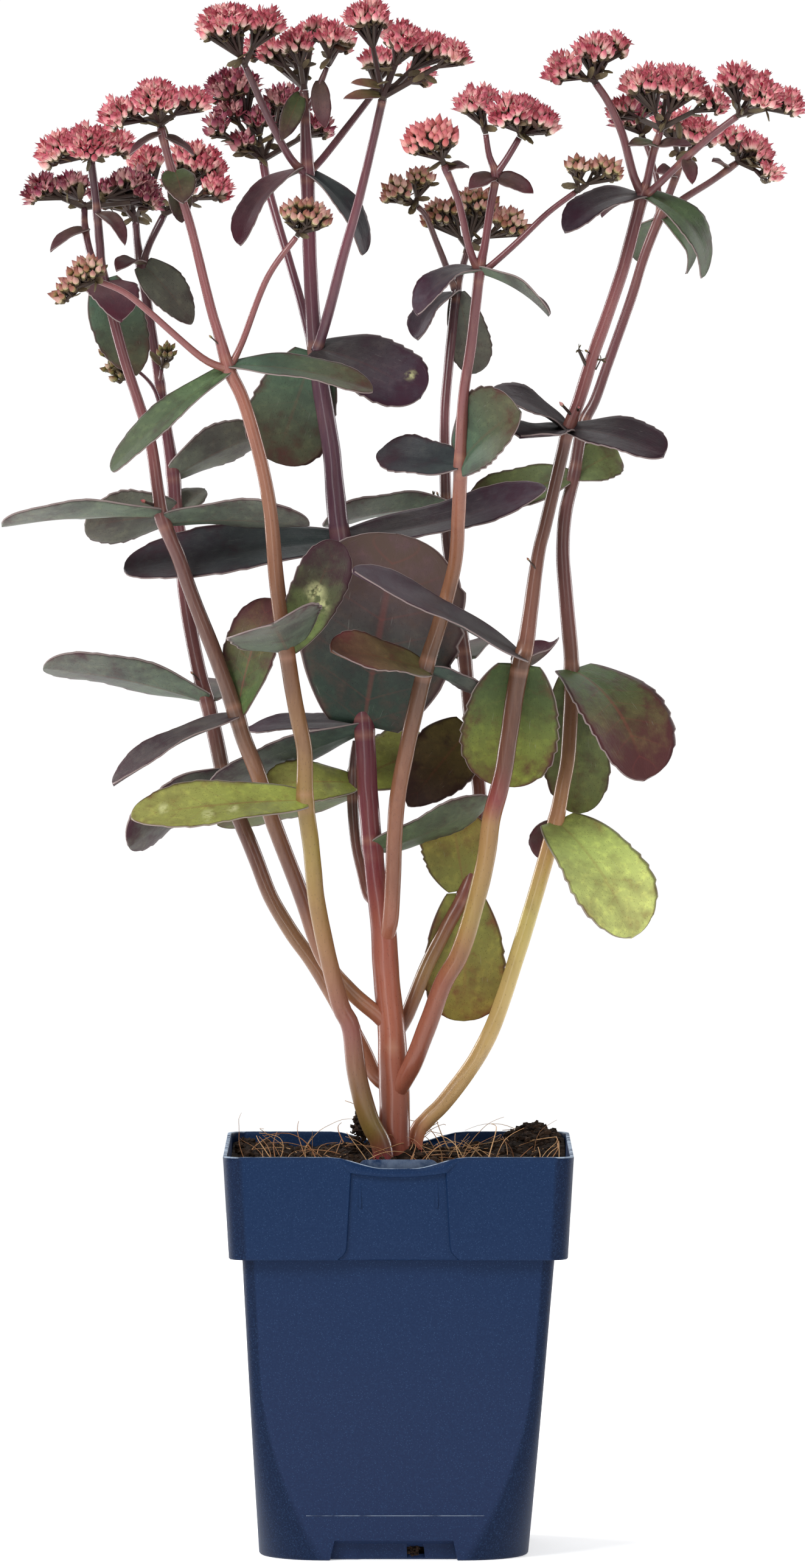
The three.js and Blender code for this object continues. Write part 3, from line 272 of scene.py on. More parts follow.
            (58.7, 22, 355.7, 3.9), (62.6, 23, 363.7, 3.4), (67.7, 24, 378, 3.2),
            (74.1, 25, 395.9, 3.2), (78.4, 26, 409.8, 3.2), (83.1, 27, 421.8, 3.2),
            (86.2, 27, 429.2, 2.5), (89.6, 27, 438.2, 2.3),
        ]),
        ("head_far_right_outer", [
            (83.1, 27, 421.8, 2.4), (91, 29, 427.9, 2.3), (100.2, 31, 433.7, 2.1),
            (107.8, 33, 439.2, 2.1),
        ]),
        ("head_far_right_back", [
            (83.1, 27, 421.8, 2.1), (82.8, 30, 432, 2), (80.5, 33, 441, 1.8),
            (78.2, 35, 447.2, 1.8),
        ]),
    ],
    "stem_short_back": [
        (None, [
            (-6.4, 4, 204.6, 3), (-9.5, 8, 206.4, 3.4), (-11.8, 11, 214.9, 3.4),
            (-13.4, 12, 222.4, 3.4), (-14.4, 13, 233.2, 3.6), (-14.5, 14, 242.5, 3.6),
            (-14.2, 15, 250.6, 2.6), (-13.8, 16, 255.4, 1.6),
        ]),
    ],
}

# Leaves: base, tip, width, way its upper face looks, arch, cup, kind and colours
LEAVES = {
    "main_stem": [
        ((-18, 5, 319), (-87, 2, 310), 27, (0, -0.55, 0.83), 1.5, 2, "long", "slate"),
        ((-18, 5, 320), (47, 4, 336), 22, (0.1, -0.45, 0.88), -3, 2, "long", "plum"),
        ((-11, 2, 261), (0, -16, 322), 54, (-0.05, -1, 0.1), 4, 2, "broad", "shield"),
        ((-11, 2, 260), (-60, 8, 240), 20, (-0.1, 0.5, 0.85), 1, 1, "long", "slate"),
        ((-11, 2, 261), (-48, 26, 259), 14, (0, -0.45, 0.9), 1, 1, "long", "plum"),
        ((-8, 1, 222), (29, 0, 238), 19, (0, 0.5, 0.86), -2, 1, "long", "grass"),
        ((-26, 4, 380), (7, -14, 365), 28, (0.2, -0.75, 0.62), 3, 1, "broad", "plum"),
        ((-27, 9, 379), (-39, 18, 344), 29, (0, -1, 0.1), 2, 1, "broad", "moss"),
        ((-31, 5, 437), (-50, -12, 413), 13, (-0.55, -0.5, 0.65), 4.5, 2, "long", "wine"),
        ((-29, 6, 436), (-11, 4, 410), 13, (0.55, -0.5, 0.65), 4, 2, "long", "slate"),
        ((-31, 6, 461), (-37, -3, 446), 7, (0.1, -0.95, 0.2), 1, 1, "small", "fern"),
        ((-25, 6, 465), (-23, 0, 450), 6.5, (-0.2, -0.9, 0.3), 1, 1, "small", "umber"),
        ((-5.5, -14, 462.5), (-14.8, -20, 464), 3.4, (0.05, -0.85, 0.5), 0.8, 0.5, "small",
         "crimson"),
        ((-5.5, -14, 460), (-17.2, -22, 459), 3.8, (0, -0.85, 0.5), 1, 0.5, "small", "crimson"),
    ],
    "stem_front_left": [
        ((-53, -33, 374), (-90, -30, 342), 14, (-0.4, -0.6, 0.7), 2, 1.5, "long", "grass"),
        ((-53, -33, 375), (-8, -36, 367), 15, (0.1, -0.5, 0.86), 2.5, 2, "long", "moss"),
        ((-35, -30, 286), (-39, -68, 295), 32, (-0.34, 0.3, 0.89), 1, 3, "long", "sage"),
        ((-35, -30, 286), (-19, -26, 320), 18, (0.3, -0.9, 0.3), 2, 2, "long", "shadow"),
        ((-29, -22, 238), (-84, -32, 233), 22, (0, -0.6, 0.8), 1.5, 2, "long", "lime"),
        ((-70, -37, 436), (-67, -47, 426), 11, (0.1, -0.9, 0.4), 1, 1, "ovate", "fern"),
        ((-70, -37, 436), (-68, -30, 420), 8, (0.2, -0.9, 0.2), 1, 1, "ovate", "fern"),
        ((-74, -38, 448), (-84, -42, 441), 4, (-0.4, -0.5, 0.7), 1, 0.5, "small", "umber"),
        ((-74, -38, 447), (-64, -34, 441), 4.5, (0.5, -0.5, 0.7), 1, 0.5, "small", "umber"),
    ],
    "stem_left_back": [
        ((-61, 25, 268), (-113, 16, 279), 23, (0, 0.45, 0.88), 2, 2, "long", "sage"),
        ((-61, 25, 268), (-51, 66, 272), 20, (0, -0.2, 0.97), 1.5, 2, "long", "sage"),
        ((-71, 31, 328), (-100, 22, 324), 23, (0, 0.75, 0.65), 0.5, 1, "long", "mist"),
        ((-71, 31, 328), (-62, 40, 335), 10, (0, -0.6, 0.8), 0.5, 1, "small", "mist"),
        ((-71, 31, 328), (-78, 80, 325), 20, (0, -0.2, 0.97), 1.5, 2, "long", "sage"),
        ((-72, 32, 340), (-43, 28, 354), 20, (0.1, 0.55, 0.8), 1, 2, "long", "mist"),
        ((-56, 23, 244), (-86, 14, 222), 24, (0, 0.6, 0.8), 1, 2, "long", "dusk"),
        ((-82, 42, 407), (-66, 38, 388), 14, (0.35, -0.9, 0.2), 2, 1, "ovate", "mist"),
        ((-82, 42, 407), (-90, 32, 405), 9, (-0.2, -0.5, 0.8), 2, 1, "small", "umber"),
    ],
    "stem_left_front": [
        ((-51, -10, 264), (-90, -20, 243), 17, (-0.35, -0.3, 0.88), 2.5, 2, "long", "dusk"),
        ((-51, -10, 265), (-40, 2, 301), 19, (-0.3, -0.85, 0.4), 3, 2, "long", "bronze"),
        ((-75, -14, 328), (-125, -20, 325), 24, (0, 0.25, 0.97), 1.5, 2, "long", "sage"),
        ((-74, -14, 326), (-28, -14, 325), 20, (0, 0.45, 0.9), 1.5, 2, "long", "sage"),
        ((-93, -11, 401), (-87, -28, 389), 17, (0.25, -0.9, 0.3), 2, 2, "ovate", "wine"),
        ((-93, -11, 402), (-83, 6, 372), 18, (0, -1, 0.05), 2, 1, "ovate", "moss"),
        ((-98, 2, 418), (-110, -4, 411), 6, (-0.3, -0.5, 0.8), 1.5, 1, "small", "umber"),
        ((-95, -14, 423), (-86, -18, 413), 6, (0.4, -0.7, 0.5), 3, 1, "small", "umber"),
    ],
    "stem_centre": [
        ((9, -21, 279), (-21, -42, 286), 20, (0.1, -0.6, 0.8), 1, 2, "long", "crimson"),
        ((9, -21, 280), (26, -10, 271), 10, (0, 0.3, 0.95), 0.5, 1, "long", "slate"),
        ((20, -40, 345), (38, -56, 361), 28, (-0.5, -0.8, 0.4), 2, 5, "broad", "moss"),
        ((20, -40, 344), (-6, -24, 348), 17, (0, -0.75, 0.66), -1, 2, "long", "slate"),
        ((25, -55, 405), (6, -68, 391), 13, (-0.5, -0.55, 0.65), 4.5, 2, "long", "plum"),
        ((25, -55, 405), (47, -62, 391), 12, (0.5, 0.1, 0.86), 2, 2, "long", "sage"),
        ((15, -62, 436), (22, -60, 437), 5, (0.2, -0.4, 0.9), 1, 0.5, "small", "umber"),
        ((30, -58, 434), (22, -64, 430), 7, (-0.4, -0.8, 0.4), 1, 1, "small", "umber"),
        ((30, -58, 434), (42, -60, 429), 6.5, (0.4, -0.8, 0.4), 1, 1, "small", "umber"),
    ],
    "stem_centre_back": [
        ((15, 38, 330), (-24, 26, 324), 20, (0, 0.45, 0.9), 1.5, 2, "long", "sage"),
        ((15, 38, 330), (29, 76, 325), 20, (0, -0.2, 0.97), 1.5, 2, "long", "sage"),
        ((21, 14, 207), (21, 18, 166), 27, (0.05, -1, 0.1), 3, 1, "broad", "olive"),
        ((21, 14, 208), (17, 14, 232), 24, (0, -1, 0.15), 1, 1, "broad", "olive"),
        ((23, 25, 259), (3, 11, 235), 23, (0.1, -0.9, 0.4), 2, 2, "ovate", "peatleaf"),
        ((21, 30, 281), (17, 78, 284), 22, (0, -0.2, 0.97), 1.5, 2, "long", "sage"),
        ((19, 57, 398), (6, 46, 383), 13, (-0.6, -0.5, 0.6), 3, 2, "long", "plum"),
        ((19, 57, 398), (25, 60, 372), 14, (0.1, -1, 0.1), 2, 1, "long", "mist"),
    ],
    "stem_right_front": [
        ((39, -22, 283), (-14, -58, 311), 24, (-0.1, -0.5, 0.86), 1, 2, "long", "plum"),
        ((38, -22, 281), (33, -6, 242), 32, (0, -1, 0.05), -4, 1, "broad", "grove"),
        ((38, -22, 281), (48, -4, 287), 14, (-0.3, -0.3, 0.9), -2, 4, "long", "wine"),
        ((53, -25, 355), (29, -34, 366), 20, (0, -0.4, 0.9), 2, 2, "long", "ink"),
        ((53, -25, 355), (83, -44, 347), 21, (0.15, -0.55, 0.8), 2, 2, "long", "ink"),
        ((53, -25, 355), (38, -46, 353), 18, (-0.2, -0.55, 0.8), 0, 2, "long", "ink"),
        ((77, -28, 428), (52, -40, 417), 15, (-0.4, -0.6, 0.7), 4, 2, "long", "plum"),
        ((77, -28, 429), (96, -20, 403), 15, (0.6, -0.6, 0.5), 7, 1.5, "long", "grass"),
        ((76, -28, 428), (64, -14, 422), 8, (-0.3, 0.2, 0.9), 1.5, 1, "small", "wine"),
        ((81, -30, 444), (72, -36, 444), 6, (-0.3, -0.6, 0.7), 1, 0.5, "small", "fern"),
        ((81, -30, 444), (92, -32, 444), 5, (0.4, -0.6, 0.7), 1, 0.5, "small", "umber"),
        ((90, -36, 440), (92, -42, 432), 5, (0.2, -0.9, 0.2), 1, 0.5, "small", "umber"),
    ],
    "stem_right_back": [
        ((55, 15, 278), (78, -8, 244), 34, (0.5, -0.75, 0.45), 7, 3, "broad", "bronze"),
        ((55, 15, 277), (58, 24, 232), 22, (0, -1, 0.05), -2, 1, "long", "meadow"),
        ((50, 11, 230), (74, -6, 194), 31, (0.4, -0.8, 0.45), 5, 3, "broad", "pale"),
        ((50, 11, 230), (45, 20, 218), 12, (0, -1, 0), 1, 1, "small", "umber"),
        ((55, 20, 339), (21, 30, 328), 20, (0, -0.7, 0.7), 1, 2, "long", "meadow"),
        ((56, 20, 340), (70, 32, 347), 15, (0.1, -0.9, 0.3), 1, 1, "long", "meadow"),
        ((59, 22, 355), (65, 64, 352), 18, (0, -0.2, 0.97), 1.5, 2, "long", "plum"),
        ((84, 27, 422), (92, 34, 404), 10, (0.6, -0.6, 0.5), 5, 1, "small", "grass"),
        ((83, 27, 422), (77, 48, 408), 12, (-0.5, 0.5, 0.7), 2, 1, "small", "grass"),
        ((88, 27, 435), (82, 20, 436), 6, (-0.3, -0.8, 0.4), 1, 1, "small", "umber"),
        ((105, 32, 438), (100, 28, 440), 5, (0, -0.4, 0.9), 0.5, 0.5, "small", "umber"),
    ],
    "stem_short_back": [
        ((-14, 14, 243), (13, 36, 252), 24, (0, -0.85, 0.5), 2, 1, "long", "lime"),
        ((-14, 14, 242), (-42, -2, 242), 17, (0, -0.8, 0.6), 1, 1, "long", "lime"),
        ((-14, 14, 239), (-58, 38, 228), 18, (0, 0.6, 0.8), 1, 1, "long", "meadow"),
    ],
}

# Flower heads: kind of flower, then the middle and radius of each cyme
# The heads at the back take a darker kind of rose, whose colours are painted shade.
HEADS = {
    "head_crown_left": ("rose", [
        (-55, -10, 484, 9.5), (-42, -8, 484, 7.3),
    ]),
    "head_crown_middle": ("rose", [
        (-40, 12, 475, 5.4), (-32, 4, 478, 6), (-34, 26, 474, 5.4), (-27, 22, 482, 4.8),
        (-45, 24, 476, 5),
    ]),
    "head_crown_small": ("rose", [
        (-21, 2, 480, 5.8), (-18, 18, 478, 4.6),
    ]),
    "head_crown_right": ("rose", [
        (-10, -14, 486, 8.1), (2, -22, 478, 6.9), (11, -10, 476, 7.7), (18, -20, 473, 5.4),
        (1, 2, 480, 6.6),
    ]),
    "head_crown_back": ("rose", [
        (-6, 30, 473, 6.9), (7, 30, 468, 5),
    ]),
    "head_back_left": ("dusky", [
        (-53, 44, 465, 9.3), (-58, 36, 451, 4.6), (-36, 54, 460, 8.5), (-25, 48, 452, 5.4),
        (-50, 38, 446, 3.9), (-54, 40, 457, 4.6), (-45, 42, 454, 4.6),
    ]),
    "head_left_upper": ("rose", [
        (-88, -42, 455, 6.9), (-76, -46, 460, 8.1), (-64, -34, 459, 6.2), (-75, -24, 460, 6.6),
    ]),
    "head_left_front": ("rose", [
        (-108, -18, 444, 7.7), (-97, -26, 446, 8.5), (-88, -10, 446, 6.2), (-100, 0, 446, 6.6),
    ]),
    "head_left_behind": ("dusky", [
        (-114, 4, 432, 6.6), (-104, 16, 433, 6.6), (-83, 14, 433, 8.5), (-93, 26, 430, 6.6),
        (-79, 6, 428, 4.6),
    ]),
    "head_left_inner": ("rose", [
        (-81, 38, 441, 6.9), (-64, 46, 441, 10), (-58, 40, 432, 5.8), (-70, 66, 435, 6.9),
    ]),
    "head_left_far": ("dusky", [
        (-91, 60, 430, 6.9), (-82, 72, 430, 6.9), (-88, 84, 434, 6.6),
    ]),
    "head_bud_left": ("bud", [
        (-97, -48, 406, 5.4), (-101, -48, 402.5, 5), (-104.5, -48, 398.5, 4.4),
    ]),
    "head_bud_middle": ("bud", [
        (-29, -32, 423, 8.5),
    ]),
    "buds_green_left": ("green", [
        (-92, 18, 379, 3.6), (-91, 18, 375, 3.8), (-89, 19, 371.5, 3.2),
    ]),
    "buds_green_right": ("green", [
        (-74, 30, 379, 3.6),
    ]),
    "head_bud_rose": ("rosebud", [
        (10, -63, 447, 9.5),
    ]),
    "head_centre_left": ("rose", [
        (23, -58, 458, 6.2), (26, -46, 459, 5),
    ]),
    "head_centre_right": ("rose", [
        (34, -66, 455, 7.3), (43, -56, 453, 8.1), (38, -44, 456, 6.6),
    ]),
    "head_bud_right": ("bud", [
        (56, -54, 438, 4.6), (65, -50, 437, 5.8),
    ]),
    "head_bud_green": ("bud", [
        (-1, 44, 431, 5.8), (7, 48, 435, 5),
    ]),
    "head_centre_back": ("bud", [
        (14, 62, 424, 7.3), (25, 66, 427, 8.5), (36, 58, 421, 6.9), (24, 84, 424, 6.9),
    ]),
    "head_right_left": ("rose", [
        (51, -42, 469, 6.9), (61, -38, 475, 6.9), (68, -30, 476, 5.4),
    ]),
    "head_right_middle": ("rose", [
        (77, -34, 465, 8.1), (89, -38, 464, 8.1), (99, -34, 459, 5.8), (70, -26, 456, 5),
        (85, -14, 466, 6.9),
    ]),
    "head_right_outer": ("rose", [
        (105, -44, 466, 6.6), (114, -52, 461, 6.9), (122, -42, 458, 5.8), (112, -30, 464, 6.2),
    ]),
    "head_far_right_upper": ("rose", [
        (86, 24, 453, 5.8), (97, 22, 450, 6.6), (92, 44, 453, 6.2),
    ]),
    "head_far_right_outer": ("rose", [
        (106, 30, 448, 5), (114, 36, 444, 6.9), (118, 30, 436, 3.9), (112, 54, 446, 5.8),
    ]),
    "head_far_right_back": ("dusky", [
        (73, 34, 455, 6.2), (79, 52, 459, 6.2),
    ]),
}


def smooth(low, high, amount):
    """0 below low, 1 above high and an even S between them."""
    t = min(max((amount - low) / (high - low), 0), 1)
    return t * t * (3 - 2 * t)


def blended(first, second, share):
    return tuple(a + (b - a) * share for a, b in zip(first, second))


def paint(red, green, blue):
    """A colour as it looks on a screen, 0 to 255, as the linear colour of a socket."""
    def linear(amount):
        amount /= 255
        return amount / 12.92 if amount <= 0.04045 else ((amount + 0.055) / 1.055) ** 2.4

    return (linear(red), linear(green), linear(blue), 1)


# Finishes ------------------------------------------------------------------------------------


class Amount:
    """A number that a material works out. Python's signs add Math nodes to it."""

    def __init__(self, finish, socket):
        self.finish = finish
        self.socket = socket

    def maths(self, operation, *numbers):
        return self.finish.node("Math", dict(enumerate(numbers)), operation=operation)

    def __add__(self, other):
        return self.maths("ADD", self, other)

    __radd__ = __add__

    def __sub__(self, other):
        return self.maths("SUBTRACT", self, other)

    def __rsub__(self, other):
        return self.maths("SUBTRACT", other, self)

    def __mul__(self, other):
        return self.maths("MULTIPLY", self, other)

    __rmul__ = __mul__

    def __abs__(self):
        return self.maths("ABSOLUTE", self)

    def fract(self):
        return self.maths("FRACT", self)

    def step(self, low, high):
        """0 below low, 1 above high and an even S between them."""
        return self.finish.node(
            "MapRange", {0: self, 1: low, 2: high}, interpolation_type="SMOOTHSTEP"
        )


class Finish:
    """A material and its nodes."""

    def __init__(self, name, **constants):
        self.material = bpy.data.materials.new(name)
        self.material.use_nodes = True
        self.tree = self.material.node_tree
        self.shader = self.tree.nodes["Principled BSDF"]
        self.feed(self.shader, {k.replace("_", " "): v for k, v in constants.items()})

    def feed(self, node, inputs):
        for name, value in inputs.items():
            if isinstance(value, Amount):
                self.tree.links.new(value.socket, node.inputs[name])
            else:
                node.inputs[name].default_value = value

    def node(self, kind, inputs, output=0, stops=None, **settings):
        """A new node with its settings first, then its values and links."""
        node = self.tree.nodes.new("ShaderNode" + kind)
        for name, value in settings.items():
            setattr(node, name, value)
        if stops:
            ramp = node.color_ramp.elements
            for at, colour in stops[1:-1]:
                ramp.new(at).color = colour
            ramp[0].position, ramp[0].color = stops[0]
            ramp[-1].position, ramp[-1].color = stops[-1]
        self.feed(node, inputs)
        return Amount(self, node.outputs[output])

    def place(self, scale=(1, 1, 1)):
        """Where a point is on the object, in metres, stretched by scale."""
        where = self.node("TexCoord", {}, "Object")
        return self.node("Mapping", {"Vector": where, "Scale": scale})

    def clouds(self, vector, scale, detail=3, roughness=0.55):
        settings = {"Vector": vector, "Scale": scale, "Detail": detail, "Roughness": roughness}
        return self.node("TexNoise", settings, "Fac")

    def attribute(self, name, output="Fac"):
        return self.node("Attribute", {}, output, attribute_name=name)

    def mixed(self, share, first, second, blend="MIX"):
        inputs = {0: share, 6: first, 7: second}
        return self.node("Mix", inputs, 2, data_type="RGBA", blend_type=blend)

    def bump(self, height, strength, distance):
        inputs = {"Height": height, "Strength": strength, "Distance": distance}
        self.wear(Normal=self.node("Bump", inputs))

    def wear(self, **inputs):
        self.feed(self.shader, {k.replace("_", " "): v for k, v in inputs.items()})


def pot_plastic():
    """Navy plastic: greyer low on the pot, with painted shade in its corners; mottled, speckled and
    rubbed pale, with painted light on the label tab and a painted highlight on the raised line.
    """
    plastic = Finish("pot_plastic", Roughness=0.45, Specular_IOR_Level=0.13)
    place = plastic.place()
    height = plastic.node("SeparateXYZ", {0: place}, "Z")
    broad = plastic.clouds(place, 14, 2)
    grain = plastic.clouds(place, 1800, 2)
    speck = plastic.node("TexVoronoi", {"Vector": place, "Scale": 1500}, "Distance")
    navy = plastic.mixed(
        (height * 9 + broad * 0.5 - 0.45).step(0, 1), paint(27, 41, 72), paint(14, 39, 73)
    )
    # Painted shade: the corner columns, marked by the "turned" attribute, are darkened towards deep
    # navy.
    shaded = plastic.mixed(plastic.attribute("turned"), navy, paint(8, 26, 54))
    grained = plastic.mixed(grain.step(0.4, 0.75) * 0.4, shaded, paint(34, 56, 90))
    sparkling = plastic.mixed((0.22 - speck).step(0, 0.1) * 0.34, grained, paint(70, 100, 140))
    # Pale where the "wear" attribute is set: real wear on the rim, painted light on the label tab
    # and a painted highlight along the raised line.
    worn_and_painted_light = plastic.attribute("wear") * plastic.clouds(place, 260, 4).step(0.3, 0.62)
    plastic.wear(
        Base_Color=plastic.mixed(worn_and_painted_light, sparkling, paint(170, 186, 206)),
        Roughness=0.4 + grain * 0.16,
    )
    plastic.bump(grain + broad * 0.2, 0.12, 0.0001)
    return plastic.material


def stem_skin():
    """Bark in the stem's own tone, with fine streaks, dark blotches and dots, and pale joints."""
    skin = Finish("stem_skin", Roughness=0.4, Specular_IOR_Level=0.5)
    tone = skin.attribute("tone", "Color")
    streaks = skin.clouds(skin.place((1, 1, 0.06)), 900, 4)
    blotches = skin.clouds(skin.place((1, 1, 0.5)), 130, 3)
    dots = skin.node("TexVoronoi", {"Vector": skin.place((1, 1, 0.4)), "Scale": 1500}, "Distance")
    streaked = skin.mixed(streaks.step(0.4, 0.75) * 0.07, tone, paint(200, 160, 132))
    darker = skin.mixed(blotches.step(0.5, 0.75) * 0.24, streaked, paint(88, 50, 50))
    dotted = skin.mixed((0.22 - dots).step(0, 0.1) * 0.3, darker, paint(60, 34, 36))
    scarred = skin.mixed(skin.attribute("joint") * 0.42, dotted, paint(178, 128, 104))
    skin.wear(Base_Color=scarred, Roughness=0.24 + streaks * 0.04)
    skin.bump(streaks, 0.04, 0.0002)
    return skin.material


def leaf_blade():
    """A fleshy leaf in its own tone: bloom, blotches, a flushed margin, veins, scratches, spots,
    and a painted highlight along its rim.
    """
    blade = Finish("leaf_blade", Roughness=0.5, Specular_IOR_Level=0.19)
    place = blade.place()
    uv = blade.node("UVMap", {}, uv_map="leaf")
    along = blade.node("SeparateXYZ", {0: uv}, "X")
    across = blade.node("SeparateXYZ", {0: uv}, "Y")
    off = abs(across - 0.5) * 2
    mottle = blade.clouds(place, 420, 4)
    patches = blade.clouds(place, 75, 4)
    blotches = blade.clouds(place, 150, 5, 0.65)
    dots = blade.node("TexVoronoi", {"Vector": place, "Scale": 1250}, "Distance")
    lanes = blade.clouds(blade.node("Mapping", {"Vector": uv, "Scale": (5, 46, 1)}), 1, 3)
    tone = blade.attribute("tone", "Color")
    flush = blade.attribute("flush", "Color")
    ribbed = blade.attribute("ribbed")
    lit = blade.mixed(mottle.step(0.45, 0.75) * 0.8, tone, (1.4, 1.38, 1.26, 1), "MULTIPLY")
    dull = blade.mixed(patches.step(0.42, 0.68) * 0.8, lit, (0.6, 0.54, 0.62, 1), "MULTIPLY")
    dotted = blade.mixed((0.24 - dots).step(0, 0.12) * 0.7, dull, (0.5, 0.45, 0.45, 1), "MULTIPLY")
    spread = blade.attribute("flushed") + blotches * 1.2 - 0.62
    reddened = blade.mixed(spread.step(0.08, 0.6), dotted, flush)
    side_veins = abs((along * 7 - off * 1.3).fract() - 0.5) * 2
    veins = side_veins.step(0.86, 0.98) * (1 - off) * 0.3 * ribbed
    rib = (1 - off.step(0.01, 0.06)) * (1 - along.step(0.5, 0.95)) * 0.6
    veined = blade.mixed(veins + rib * ribbed, reddened, paint(136, 66, 60))
    scratched = blade.mixed((lanes - 0.66).step(0, 0.03) * 0.14, veined, paint(170, 170, 164))
    edged = blade.mixed(off.step(0.9, 0.96) * 0.55, scratched, paint(54, 24, 34))
    # Painted highlight: a pale line along the very edge of the blade.
    with_painted_rim_highlight = blade.mixed(off.step(0.965, 0.99) * 0.65, edged, paint(164, 148, 144))
    pale = blade.attribute("joint") * blade.clouds(place, 500, 4).step(0.34, 0.56)
    spotted = blade.mixed(pale, with_painted_rim_highlight, paint(206, 206, 150))
    blade.wear(Base_Color=spotted, Roughness=0.4 + mottle * 0.22)
    blade.bump(mottle * 0.6 + patches + lanes * 0.4, 0.42, 0.0005)
    return blade.material


# How far up a flower a point lies: stalk, calyx, petal, and the heart between the petals
CALYX_PART, PETAL_PART, HEART_PART, LAST_PART = 0.08, 0.2, 1.25, 1.3


def bloom(name, stops, darkest):
    """A flower head's finish: its colours run from the stalks, over the calyx, to the petals'
    tips and the heart."""
    petal = Finish(name, Roughness=0.55, Specular_IOR_Level=0.35)
    part = petal.attribute("part")
    place = petal.place()
    grain = petal.clouds(place, 700, 3)
    colour = petal.node(
        "ValToRGB",
        {0: (part + (grain - 0.5) * 0.1) * (1 / LAST_PART)},
        stops=[(at / LAST_PART, paint(*tint)) for at, tint in stops],
    )
    shade = petal.attribute("shade")
    deep = petal.mixed(shade.step(0.3, 1), colour, paint(*darkest), "MULTIPLY")
    pale = petal.mixed(
        (1 - shade.step(0, 0.4)) * part.step(0.18, 0.24) * 0.4, deep, paint(240, 204, 188)
    )
    petal.wear(Base_Color=pale)
    petal.bump(grain, 0.2, 0.0002)
    return petal.material


# The colours of each kind of flower: name, colours from the stalk up, and the shade deep inside
STALKS = [(0, (66, 52, 46)), (0.1, (84, 70, 52)), (0.16, (108, 96, 66))]
BLOOMS = {
    "rose": (
        "rose_bloom",
        STALKS + [(0.22, (236, 228, 200)), (0.48, (252, 224, 210)), (0.64, (244, 182, 180)),
                  (0.8, (224, 124, 138)), (0.98, (164, 66, 88)), (1.25, (168, 36, 70))],
        (200, 150, 160),
    ),
    # Roses darkened by painted shade, for the heads at the back.
    "dusky": (
        "dusky_bloom",
        STALKS + [(0.22, (208, 190, 166)), (0.46, (216, 168, 164)), (0.64, (184, 104, 120)),
                  (0.8, (150, 68, 92)), (0.98, (108, 48, 66)), (1.25, (146, 30, 64))],
        (176, 124, 136),
    ),
    "bud": (
        "closed_bud",
        STALKS + [(0.22, (146, 146, 98)), (0.46, (188, 178, 132)), (0.66, (188, 138, 122)),
                  (0.98, (142, 80, 80)), (1.25, (150, 60, 70))],
        (206, 186, 160),
    ),
    "rosebud": (
        "rose_bud",
        STALKS + [(0.22, (238, 206, 184)), (0.5, (240, 172, 162)), (0.8, (216, 124, 126)),
                  (0.98, (170, 78, 88)), (1.25, (170, 60, 76))],
        (210, 170, 170),
    ),
    "green": (
        "green_bud",
        STALKS + [(0.22, (122, 122, 72)), (0.5, (134, 130, 76)), (0.8, (138, 112, 74)),
                  (0.98, (132, 84, 66)), (1.25, (132, 84, 66))],
        (190, 180, 150),
    ),
}


# Making pieces -------------------------------------------------------------------------------


def finished(bm, name, materials, node, smooth_faces=True):
    """Makes the millimetre mesh a piece of the part, in place of a CAD node if one is named."""
    bmesh.ops.scale(bm, vec=(MM, MM, MM), verts=bm.verts)
    mesh = bpy.data.meshes.new(name)
    bm.to_mesh(mesh)
    bm.free()
    for material in materials:
        mesh.materials.append(material)
    if smooth_faces:
        mesh.shade_smooth()
    piece = bpy.data.objects.new(name, mesh)
    bpy.context.scene.collection.objects.link(piece)
    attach(piece, "root")
    if node:
        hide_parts(node)
    return piece


def small_mesh(bm):
    """A small mesh that is copied into bigger ones."""
    bmesh.ops.recalc_face_normals(bm, faces=bm.faces)
    mesh = bpy.data.meshes.new("template")
    bm.to_mesh(mesh)
    bm.free()
    return mesh


def add_copy(bm, template, matrix, **amounts):
    """Adds a small mesh, moved, with an even amount in each named attribute."""
    copy = template.copy()
    copy.transform(matrix)
    for name, amount in amounts.items():
        copy.attributes[name].data.foreach_set("value", [amount] * len(copy.vertices))
    bm.from_mesh(copy)
    bpy.data.meshes.remove(copy)


def standing(base, direction, turn=0.0, scale=(1, 1, 1)):
    """Puts a shape that grows up from the origin at base, growing in a direction."""
    lean = UP.rotation_difference(direction).to_matrix().to_4x4()
    size = Matrix.Diagonal((*scale, 1))
    return Matrix.Translation(base) @ lean @ Matrix.Rotation(turn, 4, "Z") @ size


def flowing(points, step):
    """A smooth line of [x, y, z, diameter] through the points, about a step between them."""
    result = []
    last = len(points) - 1
    for i in range(last):
        a, b, c, d = (Vector(points[min(max(k, 0), last)]) for k in (i - 1, i, i + 1, i + 2))
        parts = max(2, round((c - b).length / step))
        for j in range(parts):
            t = j / parts
            bend = (c - a) * t + (2 * a - 5 * b + 4 * c - d) * t**2 + (3 * b - a - 3 * c + d) * t**3
            result.append(b + bend / 2)
    result.append(Vector(points[-1]))
    return result


def crossings(line):
    """Each point of a line with its direction and two cross directions that hardly turn."""
    side = Vector((1, 0.2, 0))
    result = []
    for i, at in enumerate(line):
        along = (line[min(i + 1, len(line) - 1)].xyz - line[max(i - 1, 0)].xyz).normalized()
        side = (side - along * side.dot(along)).normalized()
        result.append((at.xyz, along, side, side.cross(along)))
    return result


# Stems and leaves ----------------------------------------------------------------------------

